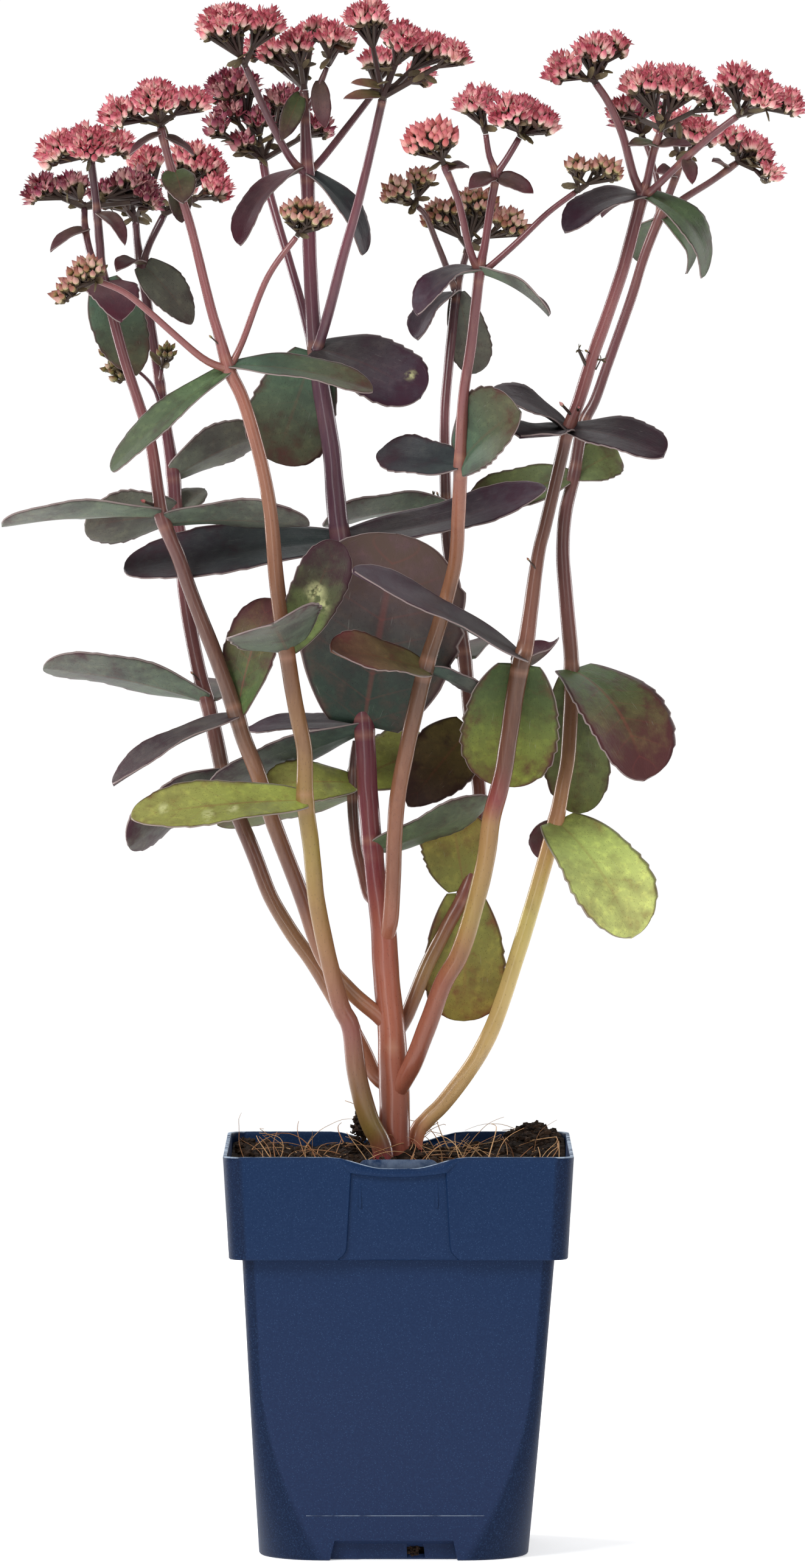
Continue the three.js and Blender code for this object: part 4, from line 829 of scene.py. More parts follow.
# Bark colours up each stem: height, colour
SKINS = {
    "main_stem": [
        (110, (140, 75, 65)), (140, (150, 92, 74)), (170, (156, 98, 80)), (200, (140, 84, 72)),
        (215, (120, 62, 66)), (260, (96, 52, 62)), (330, (96, 66, 80)), (380, (90, 66, 76)),
        (410, (118, 76, 86)), (440, (104, 68, 76)), (462, (86, 62, 66)),
    ],
    "stem_front_left": [
        (120, (136, 36, 62)), (127, (104, 60, 52)), (134, (128, 108, 64)), (165, (128, 80, 72)),
        (188, (140, 104, 74)), (223, (144, 124, 70)), (253, (134, 104, 70)), (285, (120, 84, 62)),
        (331, (140, 102, 84)), (364, (150, 102, 88)), (385, (138, 90, 90)), (420, (130, 86, 88)),
        (450, (100, 66, 70)),
    ],
    "stem_left_back": [
        (145, (150, 100, 80)), (194, (136, 104, 78)), (219, (98, 66, 58)), (244, (88, 66, 58)),
        (268, (96, 62, 60)), (300, (110, 70, 72)), (355, (96, 58, 66)), (420, (82, 58, 64)),
    ],
    "stem_left_front": [
        (164, (160, 100, 88)), (177, (156, 114, 82)), (207, (112, 76, 64)), (245, (124, 90, 70)),
        (264, (94, 70, 58)), (314, (94, 64, 60)), (335, (120, 78, 76)), (362, (126, 82, 84)),
        (402, (84, 54, 60)), (440, (70, 46, 54)),
    ],
    "stem_centre": [
        (193, (156, 102, 84)), (212, (122, 80, 62)), (240, (132, 90, 68)), (280, (88, 64, 50)),
        (303, (136, 98, 74)), (327, (150, 104, 84)), (364, (128, 82, 82)), (404, (114, 70, 74)),
        (447, (96, 58, 66)),
    ],
    "stem_centre_back": [
        (162, (136, 90, 76)), (183, (142, 114, 80)), (207, (116, 70, 62)), (302, (84, 60, 58)),
        (330, (76, 54, 54)), (359, (134, 90, 94)), (398, (64, 46, 52)), (411, (92, 66, 66)),
    ],
    "stem_right_front": [
        (143, (148, 92, 76)), (180, (132, 82, 64)), (201, (152, 128, 78)), (231, (150, 118, 82)),
        (238, (120, 60, 58)), (249, (92, 58, 46)), (281, (86, 58, 42)), (290, (122, 84, 72)),
        (346, (88, 60, 52)), (364, (130, 80, 80)), (392, (140, 92, 92)), (428, (96, 62, 66)),
        (448, (112, 74, 78)),
    ],
    "stem_right_back": [
        (120, (170, 56, 72)), (127, (200, 124, 104)), (136, (222, 184, 136)),
        (168, (206, 180, 124)), (200, (198, 182, 120)), (230, (186, 142, 108)),
        (252, (118, 90, 68)), (296, (118, 82, 78)), (355, (84, 58, 58)), (378, (112, 74, 78)),
        (409, (122, 84, 84)), (438, (98, 70, 72)),
    ],
    "stem_short_back": [(204, (130, 88, 80)), (233, (70, 50, 44)), (255, (108, 84, 82))],
}

# Leaf colours: the upper face at its base and tip, the under face at its base and tip, the flush
# of the margin and tip, how far the flush spreads, and how plain the midrib is
LOOKS = {
    "slate": ((50, 58, 58), (60, 58, 62), (66, 80, 72), (84, 84, 78), (60, 40, 48), 0.25, 0),
    "plum": ((66, 62, 62), (70, 58, 68), (82, 90, 78), (86, 78, 80), (62, 36, 50), 0.3, 0.1),
    "dusk": ((84, 78, 76), (86, 76, 78), (84, 86, 78), (92, 88, 84), (70, 44, 52), 0.25, 0.1),
    "shield": ((50, 64, 56), (92, 70, 74), (50, 64, 56), (92, 70, 74), (84, 67, 60), 0.4, 0.5),
    "grass": ((84, 104, 72), (78, 88, 66), (88, 104, 76), (84, 92, 72), (70, 44, 44), 0.15, 0.1),
    "sage": ((92, 92, 82), (96, 78, 78), (96, 108, 92), (106, 108, 100),
             (82, 52, 58), 0.15, 0.25),
    "moss": ((76, 98, 80), (84, 84, 64), (76, 98, 80), (84, 84, 64), (84, 52, 46), 0.2, 0.2),
    "meadow": ((100, 112, 74), (104, 112, 66), (104, 114, 78), (106, 112, 72),
               (84, 56, 46), 0.2, 0.3),
    "bronze": ((76, 94, 54), (98, 74, 56), (86, 92, 62), (96, 78, 60), (84, 48, 48), 0.45, 0.6),
    "olive": ((128, 128, 66), (146, 134, 66), (128, 128, 70), (142, 132, 70),
              (120, 66, 50), 0.2, 0.4),
    "shadow": ((96, 110, 62), (70, 66, 58), (96, 110, 62), (70, 66, 58), (66, 42, 48), 0.4, 0.2),
    "grove": ((66, 80, 48), (124, 132, 58), (70, 84, 50), (120, 128, 60),
              (92, 54, 44), 0.25, 0.3),
    "mist": ((104, 108, 96), (98, 96, 86), (104, 108, 96), (98, 96, 86), (84, 62, 60), 0.1, 0.2),
    "ink": ((46, 40, 42), (46, 36, 42), (62, 60, 56), (64, 52, 54), (50, 28, 38), 0.3, 0.1),
    "fern": ((70, 80, 52), (84, 70, 56), (70, 80, 52), (84, 70, 56), (62, 36, 42), 0.3, 0.3),
    "lime": ((140, 148, 72), (150, 150, 84), (144, 150, 80), (150, 150, 90),
             (112, 62, 52), 0.1, 0.5),
    "pale": ((164, 180, 100), (196, 204, 122), (178, 190, 108), (192, 200, 122),
             (140, 96, 62), 0.05, 0.3),
    "umber": ((84, 66, 60), (92, 62, 66), (90, 80, 66), (92, 70, 66), (84, 40, 46), 0.3, 0.1),
    "crimson": ((110, 102, 66), (122, 88, 72), (112, 104, 70), (120, 90, 74),
                (110, 54, 58), 0.2, 0.3),
    "wine": ((98, 70, 74), (92, 60, 68), (96, 84, 76), (92, 70, 70), (84, 40, 52), 0.3, 0.1),
    "peatleaf": ((92, 80, 44), (70, 52, 40), (92, 80, 46), (70, 52, 40), (60, 36, 32), 0.3, 0.3),
}
# The leaf blades: cells along and across, and teeth on each side
LEAF_CELLS = {"broad": (44, 16, 7), "long": (38, 12, 6), "ovate": (36, 12, 6), "small": (16, 6, 3)}
# How wide a leaf starts, as a share of its width
LEAF_BASE = {"broad": 0.42, "long": 0.34, "ovate": 0.5, "small": 0.36}
# How far out a leaf is widest, and how blunt its tip is
LEAF_TIP = {
    "broad": (LEAF_WIDEST, 0.5), "long": (LEAF_WIDEST, 0.56),
    "ovate": (0.42, 0.8), "small": (0.45, 0.8),
}
# Pale spots on leaves: the x and z of the middle and the radius, seen from the front
SPOTS = {
    ("main_stem", 6): [(4, 372, 1.3)],
    ("stem_front_left", 3): [(-26, 304, 2.9), (-24, 300, 2)],
    ("stem_front_left", 4): [(-60, 234, 1.6), (-52, 236, 1.2), (-74, 236, 1.4)],
    ("stem_centre", 0): [(-4, 278, 1.0), (2, 277, 0.8)],
}
# How light the bark is, and how far its colours are drawn away from grey
BARK_LIGHT = 0.96
BARK_RICHNESS = 1.2
BARK_LUMPS = 0.05
# How much a stem swells at a joint and how far from it, and where the pale ring over it lies
JOINT_SWELL, JOINT_REACH = 0.2, 2.2
RING_UP, RING_HALF, RING_PALE = 2.4, 0.7, 0.8
# Where a leaf has fallen and left its pale scar on the main stem
SCAR = Vector((-2, -4.5, 159))
SCAR_REACH, SCAR_PALE = 2.2, 1.4
# A leaf's teeth as a share of its width, the waves of its margin, its thickness in the middle
# and how much of that is gone at the margin, and the groove of the midrib above and below
TOOTH_DEPTH = 0.06
LEAF_WAVE = 0.5
LEAF_THICK, LEAF_THINNING = 1.25, 0.8
GROOVE_ABOVE, GROOVE_BELOW = 0.35, 0.45
SPOT_PALE = 0.8


def skin_colour(stops, height):
    """The colour of the bark at a height, drawn a little away from grey."""
    colour = stops[-1][1]
    for (low, below), (high, above) in zip(stops, stops[1:]):
        if height <= high:
            colour = blended(below, above, min(max((height - low) / (high - low), 0), 1))
            break
    grey = sum(colour) / 3
    return paint(*(max(0, grey + (c - grey) * BARK_RICHNESS) * BARK_LIGHT for c in colour))


def stem_tube(route, sides, skin, joints, draw):
    """A closed tube along a route, lumpy, with a swelling and a pale ring at each joint."""
    line = flowing(route, STEM_STEP)
    rings = crossings(line)
    phase = draw.random() * 100

    def place(vert, row, share):
        at, _, side, other = rings[row]
        near = min((at - joint).length for joint in joints)
        swell = math.exp(-((near / JOINT_REACH) ** 2))
        turn = share * math.tau
        bark = Vector((phase + math.cos(turn), math.sin(turn), 0))
        lumps = 1 + BARK_LUMPS * noise.noise(at * 0.12 + bark)
        radius = line[row].w / 2 * lumps + JOINT_SWELL * swell
        vert.co = at + (side * math.cos(turn) + other * math.sin(turn)) * radius
        ring = RING_PALE * math.exp(-(((near - RING_UP) / RING_HALF) ** 2))
        scar = SCAR_PALE * math.exp(-(((vert.co - SCAR).length / SCAR_REACH) ** 4))
        vert[tube.verts.layers.float["joint"]] = ring + scar
        vert[tube.verts.layers.float_color["tone"]] = skin_colour(skin, at.z)

    tube = bmesh.new()
    for name in ("joint", "flushed", "ribbed"):
        tube.verts.layers.float.new(name)
    for name in ("tone", "flush"):
        tube.verts.layers.float_color.new(name)
    tube.loops.layers.uv.new("leaf")
    bmesh.ops.create_grid(tube, x_segments=len(rings) - 1, y_segments=sides, size=0.5)
    for vert in tube.verts:
        place(vert, round((vert.co.x + 0.5) * (len(rings) - 1)), vert.co.y + 0.5)
    bmesh.ops.remove_doubles(tube, verts=tube.verts, dist=1e-4)
    bmesh.ops.holes_fill(tube, edges=[e for e in tube.edges if e.is_boundary], sides=0)
    return small_mesh(tube)


def leaf_outline(u, kind):
    """The width of a leaf at a share of its length."""
    base, (widest, blunt) = LEAF_BASE[kind], LEAF_TIP[kind]
    if u > widest:
        past = (u - widest) / (1 - widest)
        return 0.03 + 0.97 * max(0, 1 - past**2.2) ** blunt
    return base + (1 - base) * math.sin(math.pi / 2 * (u / widest) ** 0.85)


def leaf(shape, spots, draw):
    """A fleshy blade from its base to its tip, arched, cupped, toothed and grooved."""
    base, tip, width, face, arch, cup, kind, look = shape
    *tints, flush_tint, spread, ribbed = LOOKS[look]
    start = Vector(base)
    reach = Vector(tip) - start
    along = reach.normalized()
    upper = Vector(face)
    upper = (upper - along * upper.dot(along)).normalized()
    across = upper.cross(along)
    cells_long, cells_across, teeth = LEAF_CELLS[kind]
    phase = draw.random() * 10
    side_turn = draw.random(), draw.random()
    tint = 1 + draw.uniform(-0.06, 0.06)
    blade = bmesh.new()
    joint, flushed, rib = (blade.verts.layers.float.new(n) for n in ("joint", "flushed", "ribbed"))
    tone, flush = (blade.verts.layers.float_color.new(n) for n in ("tone", "flush"))
    uv = blade.loops.layers.uv.new("leaf")
    bmesh.ops.create_grid(blade, x_segments=cells_long, y_segments=cells_across, size=0.5)
    raised = bmesh.ops.extrude_face_region(blade, geom=blade.faces[:], use_keep_orig=True)
    above = {g for g in raised["geom"] if isinstance(g, bmesh.types.BMVert)}
    shares = {}
    for vert in blade.verts:
        u = 1 - (0.5 - vert.co.x) ** 1.3
        v = vert.co.y * 2
        edge = abs(v)
        shares[vert] = (u, v / 2 + 0.5)
        outline = leaf_outline(u, kind)
        saw = (u * teeth / 0.7 + side_turn[v > 0]) % 1
        tooth = (1 - saw) * edge**4 * smooth(0.25, 0.45, u) * smooth(1, 0.93, u)
        half = width / 2 * outline * (1 - TOOTH_DEPTH * tooth)
        wave = LEAF_WAVE * math.sin(u * 11 + phase + v * 1.4) * edge**2 * min(width / 18, 1)
        fold = cup * (0.55 * edge + 0.45 * edge**2) * outline
        rise = arch * 4 * u * (1 - u) + fold + wave
        groove = math.exp(-((v / 0.13) ** 2)) * (1 - u)
        thick = (LEAF_THICK - LEAF_THINNING * edge**1.6) * (0.6 + 0.4 * min(1, width / 15))
        if vert in above:
            lift = thick / 2 - GROOVE_ABOVE * groove
            near, far = tints[:2]
        else:
            lift = -thick / 2 - GROOVE_BELOW * groove
            near, far = tints[2:]
        vert.co = start + reach * u + across * (v * half) + upper * (rise + lift)
        vert[tone] = paint(*(c * tint for c in blended(near, far, smooth(0.1, 0.95, u))))
        vert[flush] = paint(*flush_tint)
        margin = smooth(0.72, 1.0, edge) * 0.45
        vert[flushed] = spread * (0.4 + 0.9 * smooth(0.5, 1, u)) + margin * (0.3 + spread)
        vert[rib] = ribbed
        x, _, z = vert.co
        faded = [math.exp(-((math.hypot(x - sx, z - sz) / r) ** 4)) for sx, sz, r in spots]
        vert[joint] = SPOT_PALE * max(faded, default=0)
    for face in blade.faces:
        face.material_index = 1
        for loop in face.loops:
            loop[uv].uv = shares[loop.vert]
    return small_mesh(blade)


def leafy_stem(name, materials, draw):
    """A stem with its branches, which start where their routes do, and its leaves."""
    joints = [Vector(shape[0]) for shape in LEAVES[name]]
    joints += [Vector(route[0][:3]) for _, route in STEMS[name][1:]]
    stem = bmesh.new()
    for i, (_, route) in enumerate(STEMS[name]):
        if i:
            sides = STALK_SIDES
        else:
            sides = TRUNK_SIDES if name == "main_stem" else STEM_SIDES
        stem.from_mesh(stem_tube(route, sides, SKINS[name], joints, draw))
    for i, shape in enumerate(LEAVES[name]):
        stem.from_mesh(leaf(shape, SPOTS.get((name, i), ()), draw))
    return finished(stem, name + "_leafy", materials, name)


# Flower heads --------------------------------------------------------------------------------


def with_parts(bm, part_of):
    """Marks each new point with how far up the flower it lies."""
    part = bm.verts.layers.float["part"]
    for vert in bm.verts:
        if vert[part] == 0:
            vert[part] = part_of(vert)


def flower_mesh():
    """A mesh whose points know their part of the flower and how shaded they are."""
    bm = bmesh.new()
    bm.verts.layers.float.new("part")
    bm.verts.layers.float.new("shade")
    return bm


def calyx(bm):
    """The green cup under the petals."""
    bmesh.ops.create_cone(
        bm, segments=5, radius1=0.42, radius2=1.0, depth=1.1, cap_ends=True,
        matrix=Matrix.Translation((0, 0, 0.5)),
    )
    with_parts(bm, lambda vert: CALYX_PART * (1 + smooth(0, 1, vert.co.z)))


def open_floret(lean, length, width):
    """Five pointed petals on a calyx, curling out to their tips, with the carpels between them."""
    bm = flower_mesh()
    calyx(bm)
    for k in range(5):
        petal = bmesh.ops.create_uvsphere(bm, u_segments=4, v_segments=3, radius=1)["verts"]
        for vert in petal:
            x, y, z = vert.co
            up = (z + 1) / 2
            vert.co = (x * width, y * 0.26 + 0.7 * up**3, up * length)
        turn = Matrix.Rotation(k * math.tau / 5 + 0.2 * (k % 2), 4, "Z")
        lean_out = Matrix.Translation((0, 0.42, 0.6)) @ Matrix.Rotation(-lean, 4, "X")
        for vert in petal:
            vert[bm.verts.layers.float["part"]] = PETAL_PART + 0.8 * vert.co.z / length
        bmesh.ops.transform(bm, matrix=turn @ lean_out, verts=petal)
    heart = bmesh.ops.create_uvsphere(bm, u_segments=4, v_segments=3, radius=1)["verts"]
    for vert in heart:
        vert[bm.verts.layers.float["part"]] = HEART_PART
        vert.co = (vert.co.x * 0.6, vert.co.y * 0.6, length * 0.45 + vert.co.z * 1.1)
    return small_mesh(bm)


def closed_bud(length, radius):
    """An egg of five folded petals on a calyx, drawn out to a small point."""
    bm = flower_mesh()
    calyx(bm)
    egg = bmesh.ops.create_uvsphere(bm, u_segments=10, v_segments=6, radius=1)["verts"]
    for vert in egg:
        x, y, z = vert.co
        up = math.acos(max(-1, min(1, -z))) / math.pi
        turn = math.atan2(y, x)
        fold = 0.88 + 0.12 * math.cos(5 * turn)
        wide = radius * math.sin(math.pi * up**0.84) ** 0.75 * fold if 0 < up < 1 else 0
        vert[bm.verts.layers.float["part"]] = PETAL_PART + 0.8 * up
        tip = 0.14 * length * smooth(0.8, 1, up)
        vert.co = (math.cos(turn) * wide, math.sin(turn) * wide, 0.6 + up * length * 0.86 + tip)
    return small_mesh(bm)


def twig():
    """A stalk, one millimetre long and one in radius at its foot, which its copies stretch."""
    bm = flower_mesh()
    bmesh.ops.create_cone(
        bm, segments=5, radius1=1, radius2=0.82, depth=1, cap_ends=True,
        matrix=Matrix.Translation((0, 0, 0.5)),
    )
    with_parts(bm, lambda vert: 0.01)
    return small_mesh(bm)


def bract():
    """A small pointed leaf under the flowers."""
    bm = flower_mesh()
    blade = bmesh.ops.create_uvsphere(bm, u_segments=6, v_segments=4, radius=1)["verts"]
    for vert in blade:
        x, y, z = vert.co
        up = (z + 1) / 2
        vert.co = (x * 0.9, y * 0.28 + up**2 * 0.8, up * 4)
        vert[bm.verts.layers.float["part"]] = 0.09 + 0.06 * up
    return small_mesh(bm)


FLOWERS = {
    "tulip": open_floret(0.06, 4.3, 0.78),
    "upright": open_floret(0.2, 4.4, 0.66),
    "half": open_floret(0.4, 4.1, 0.64),
    "star": open_floret(0.8, 3.7, 0.64),
    "bud": closed_bud(4.1, 1.28),
    "small_bud": closed_bud(3.1, 1.1),
}
TWIG = twig()
BRACT = bract()
# Which flowers a kind of head has, towards its middle and at its rim
BLOWN = {
    "rose": (("upright", "half", "tulip", "upright", "star"), ("bud", "tulip", "bud", "upright")),
    "dusky": (("upright", "half", "star", "tulip"), ("half", "bud", "tulip")),
    "bud": (("small_bud",), ("small_bud",)),
    "rosebud": (("bud",), ("bud",)),
    "green": (("small_bud",), ("small_bud",)),
}
# How large a kind's flowers are, and how long they stand out of the dome
FLOWER_SIZE = {"rose": 0.95, "dusky": 0.92, "bud": 1.05, "rosebud": 0.94, "green": 0.8}
FLOWER_LENGTH = {"rose": 5.0, "dusky": 4.8, "bud": 3.7, "rosebud": 4.4, "green": 2.9}


def add_twig(bm, start, end, radius, draw):
    reach = end - start
    matrix = standing(start, reach.normalized(), 0, (radius, radius, reach.length))
    add_copy(bm, TWIG, matrix, shade=draw.random())


def dome_flowers(middle, turn, radius, kind, draw):
    """The flowers of a dome: how far from its top each stands, its foot and its direction."""
    dome = 2 * math.pi * radius**2 * (0.5 + DOME_HEIGHT * 0.5)
    count = max(8, round(dome / FLORET_AREA))
    start = draw.random() * math.tau
    length = min(FLOWER_LENGTH[kind], radius * 0.8)
    flowers = []
    for i in range(count):
        lean = math.acos(1 - 1.08 * (i + 0.5) / count)
        angle = start + i * GOLDEN_ANGLE
        round_x, round_y, out = math.cos(angle), math.sin(angle), math.sin(lean)
        high = math.cos(lean) * DOME_HEIGHT * radius + draw.uniform(0.4, 2.4)
        tip = middle + turn @ Vector((round_x * out * radius, round_y * out * radius, high))
        outward = turn @ Vector((round_x * out * 0.85, round_y * out * 0.85, 0.8))
        outward = (outward.normalized() + UP * 0.25).normalized()
        flowers.append((out, tip - outward * length, outward))
    return flowers, start


def dome_forks(middle, turn, radius, count, start):
    """Where the stalk of a dome forks, spread under its flowers."""
    forks = []
    for j in range(count):
        share = math.sqrt((j + 0.5) / count)
        angle = start + j * GOLDEN_ANGLE
        far = share * radius * 0.66
        low = -(0.52 - 0.3 * share) * radius
        forks.append(middle + turn @ Vector((math.cos(angle) * far, math.sin(angle) * far, low)))
    return forks


def cyme(bm, root, shape, kind, draw):
    """A domed cluster of flowers: a stalk from the root of its head, forks fanning out, and a
    short stalk to each flower, with bracts on the stalk and the forks."""
    radius = shape[3]
    centre = Vector(shape[:3])
    axis = ((centre - root).normalized() + UP * 1.3).normalized()
    turn = UP.rotation_difference(axis).to_matrix()
    middle = centre - axis * (DOME_DROP * radius)
    flowers, start = dome_flowers(middle, turn, radius, kind, draw)
    reach = middle - root
    hub = root + reach * max(0.12, 1 - radius * 1.15 / reach.length)
    add_twig(bm, root, hub, HEAD_STALK, draw)
    for _ in range(2):
        foot = root.lerp(hub, draw.uniform(0.35, 1))
        lean = Vector((draw.uniform(-1, 1), draw.uniform(-1, 0.6), draw.uniform(-0.5, 0.5)))
        matrix = standing(foot, lean.normalized(), draw.random() * 6, (draw.uniform(1.1, 1.6),) * 3)
        add_copy(bm, BRACT, matrix, shade=draw.random() * 0.5)
    fork_count = max(4, round(len(flowers) / FLOWERS_TO_A_FORK))
    forks = dome_forks(middle, turn, radius, fork_count, start)
    for fork in forks:
        add_twig(bm, hub, fork, FORK_STALK, draw)
        if draw.random() < BRACT_CHANCE:
            lean = Vector((draw.uniform(-1, 1), draw.uniform(-1, 1), draw.uniform(-0.2, 0.6)))
            bract_size = draw.uniform(0.7, 1.1)
            matrix = standing(fork, lean.normalized(), draw.random() * 6, (bract_size,) * 3)
            add_copy(bm, BRACT, matrix, shade=draw.random())
    for out, foot, outward in flowers:
        fork = min(forks, key=lambda f: (f - foot).length)
        add_twig(bm, fork, foot + outward * 0.3, FLOWER_STALK, draw)
        flower = FLOWERS[draw.choice(BLOWN[kind][0 if out < 0.8 else 1])]
        size = FLOWER_SIZE[kind] * draw.uniform(0.88, 1.12)
        lean = (outward + Vector([draw.uniform(-0.13, 0.13) for _ in range(3)])).normalized()
        matrix = standing(foot, lean, draw.random() * math.tau, (size,) * 3)
        add_copy(bm, flower, matrix, shade=draw.random())


def flower_head(name, route, materials, draw):
    """The cymes of one head on the end of its stalk."""
    kind, shapes = HEADS[name]
    end, before = Vector(route[-1][:3]), Vector(route[-2][:3])
    along = (end - before).normalized()
    root = end + along
    bm = flower_mesh()
    add_twig(bm, end + along * 0.15, end + along * 2.6, route[-1][3] / 2, draw)
    for shape in shapes:
        cyme(bm, root, shape, kind, draw)
    return finished(bm, name + "_flowers", [materials[kind]], name, smooth_faces=False)


# Tiny shoots at the joints of the stems: foot, tip, thickness, kind, and what they bear
SHOOTS = [
    ((59.4, -26.6, 374.2), (56.6, -27.6, 380.2), 1.3, "green", "dried"),
    ((62, -26.4, 373.8), (63.6, -26.8, 377), 0.5, "green", "dried"),
    ((61, -26.6, 378.2), (59.2, -28.6, 379.6), 0.5, "green", "small"),
    ((14.4, 36.8, 329.2), (11.4, 36.4, 333), 0.6, "bud", "dried"),
    ((14.2, 36.8, 329), (12.6, 36, 333.4), 0.5, "bud", "small"),
    ((54.2, -26.4, 359.8), (51.8, -27.2, 362.4), 1.1, "rosebud", "bud"),
    ((56.4, -26.6, 361.2), (56.6, -27.8, 361.8), 1.3, "rosebud", "small"),
    ((-76.2, -14.6, 330.6), (-79.6, -15.2, 332), 1.2, "rosebud", "bud"),
    ((-62.6, 24, 273.6), (-65.6, 22.4, 276.6), 0.6, "bud", "small"),
    ((43.4, -24.6, 311), (41, -26.2, 314), 0.6, "bud", "small"),
    ((-55.4, -34.6, 381), (-58.6, -36.2, 384), 0.6, "green", "small"),
]


def shoots(kind, material, draw):
    """The shoots of one kind: a short stalk with dried leaf tips or a bud at its end."""
    bm = flower_mesh()
    for foot, tip, thick, shoot_kind, bears in SHOOTS:
        if shoot_kind != kind:
            continue
        foot, tip = Vector(foot), Vector(tip)
        add_twig(bm, foot, tip, thick / 2, draw)
        along = (tip - foot).normalized()
        if bears == "dried":
            for _ in range(5):
                lean = along * 0.5 + Vector([draw.uniform(-1, 1) for _ in range(3)])
                matrix = standing(tip, lean.normalized(), draw.random() * 6, (0.42, 0.5, 0.5))
                add_copy(bm, BRACT, matrix, shade=draw.random())
        else:
            size = 0.62 if bears == "bud" else 0.4
            matrix = standing(tip - along * 0.3, along, draw.random() * 6, (size,) * 3)
            add_copy(bm, FLOWERS["small_bud"], matrix, shade=draw.random())
    return finished(bm, "shoots_" + kind, [material], None, smooth_faces=False)


# The pot ------------------------------------------------------------------------------------

# Where the columns of a flat side stand, as shares of its half width. The middle panel ends at
# PANEL_SHARE, and the side panels start at OUTER_SHARE.
PANEL_SHARE = 0.4
OUTER_SHARE = 0.42
SIDE_SHARES = sorted(
    [PANEL_SHARE * k / 14 for k in range(-14, 15)]
    + [s * (OUTER_SHARE + (1 - OUTER_SHARE) * k / 10) for k in range(11) for s in (-1, 1)]
)
CORNER_TURNS = [math.pi / 2 * k / 9 for k in range(1, 9)]
SIDE_COLUMNS = len(SIDE_SHARES) + len(CORNER_TURNS)
# Half the width of the step at a panel's edge, half the height of the one under the lip, and the
# shares of the collar's height where the panel ends and the lip starts
STEP_HALF = 0.2
STEP_UNDER_LIP = 0.15
PANEL_END, LIP_START = 0.8, 0.82


def rim_dip(x):
    """How far the front and back of the rim are cut down."""
    return DIP_DEPTH * smooth(0, 1, (1 - abs(x) / DIP_HALF) * 1.25)


def panel_edge(z):
    """Half the width of the middle panel, or of the notch in the skirt, at a height."""
    if z <= COLLAR_FOOT:
        return NOTCH_HALF_FOOT - (NOTCH_HALF_FOOT - NOTCH_HALF_TOP) * min(z / NOTCH_HEIGHT, 1)
    up = z - COLLAR_FOOT
    flare = PANEL_FLARE * (1 - math.sqrt(1 - (1 - min(up / PANEL_FLARE, 1)) ** 2))
    lean = (PANEL_HALF_FOOT - PANEL_HALF_TOP) * min(up / 27, 1)
    return PANEL_HALF_FOOT - lean + flare


def lip_foot(x):
    """The height of the lower edge of the lip over the panel."""
    low = LIP_CENTRE_FOOT + (LIP_SIDE_FOOT - LIP_CENTRE_FOOT) * (x / LIP_BEND) ** 2
    if abs(x) > LIP_BEND:
        low = LIP_SIDE_FOOT + (abs(x) - LIP_BEND) / (LIP_HALF - LIP_BEND) * 4.2
    return min(low, POT_HEIGHT - rim_dip(x) - 0.8)


def body_width(z):
    return BODY_FOOT_WIDTH + (BODY_TOP_WIDTH - BODY_FOOT_WIDTH) * z / COLLAR_FOOT


def body_corner(z):
    return BODY_CORNER + (FOOT_CORNER - BODY_CORNER) * max(0, 1 - z / CORNER_GROWS_BELOW) ** 2


def collar_face(x, level, inner):
    """Height and relief of the collar's front and back: its panels, and the lip over them."""
    low = lip_foot(x)
    if level <= PANEL_END:
        height = COLLAR_FOOT + (low - STEP_UNDER_LIP - COLLAR_FOOT) * level / PANEL_END
        return height, -PANEL_DEPTH if inner else 0
    low += STEP_UNDER_LIP
    height = low + (POT_HEIGHT - rim_dip(x) - low) * (level - LIP_START) / (1 - LIP_START)
    bulge = math.sin(math.pi * min(max((level - PANEL_END) / 0.17, 0), 1)) ** 0.5
    return height, LIP_OUT * bulge * smooth(LIP_HALF, LIP_HALF - 4, abs(x))


def ring_points(zone, level, inset):
    """A ring of the pot's wall, set in from its face. In the body the level is a height, and in
    the collar a share of the collar's height."""
    lean = Vector()
    if zone == "body":
        z, width, corner = level, body_width(level), body_corner(level)
        lean.x = FOOT_LEAN * (1 - level / COLLAR_FOOT)
    else:
        z = COLLAR_FOOT + (POT_HEIGHT - COLLAR_FOOT) * level
        width = COLLAR_FOOT_WIDTH + (RIM_WIDTH - COLLAR_FOOT_WIDTH) * level
        corner = COLLAR_CORNER
    flat = width / 2 - corner
    edge = panel_edge(z)
    points = []
    for side in range(4):
        quarter = Matrix.Rotation(side * math.pi / 2, 3, "Z")
        for share in SIDE_SHARES:
            inner = abs(share) <= PANEL_SHARE
            if inner:
                x = abs(share) / PANEL_SHARE * (edge - STEP_HALF)
            else:
                past = (abs(share) - OUTER_SHARE) / (1 - OUTER_SHARE)
                x = edge + STEP_HALF + past * (flat - edge - STEP_HALF)
            x = math.copysign(x, share)
            out, height = 0, z
            if zone == "collar" and side % 2 == 0:
                height, out = collar_face(x, level, inner)
            elif zone == "body" and inner and level < NOTCH_HEIGHT:
                out = -NOTCH_DEPTH if x > NOTCH_STEP_X else -NOTCH_DEPTH + NOTCH_STEP
            points.append(quarter @ Vector((x, -(width / 2 - inset + out), height)) + lean)
        for turn in CORNER_TURNS:
            reach = corner - inset
            x = flat + math.sin(turn) * reach
            y = -(flat + math.cos(turn) * reach)
            points.append(quarter @ Vector((x, y, z)) + lean)
    return points


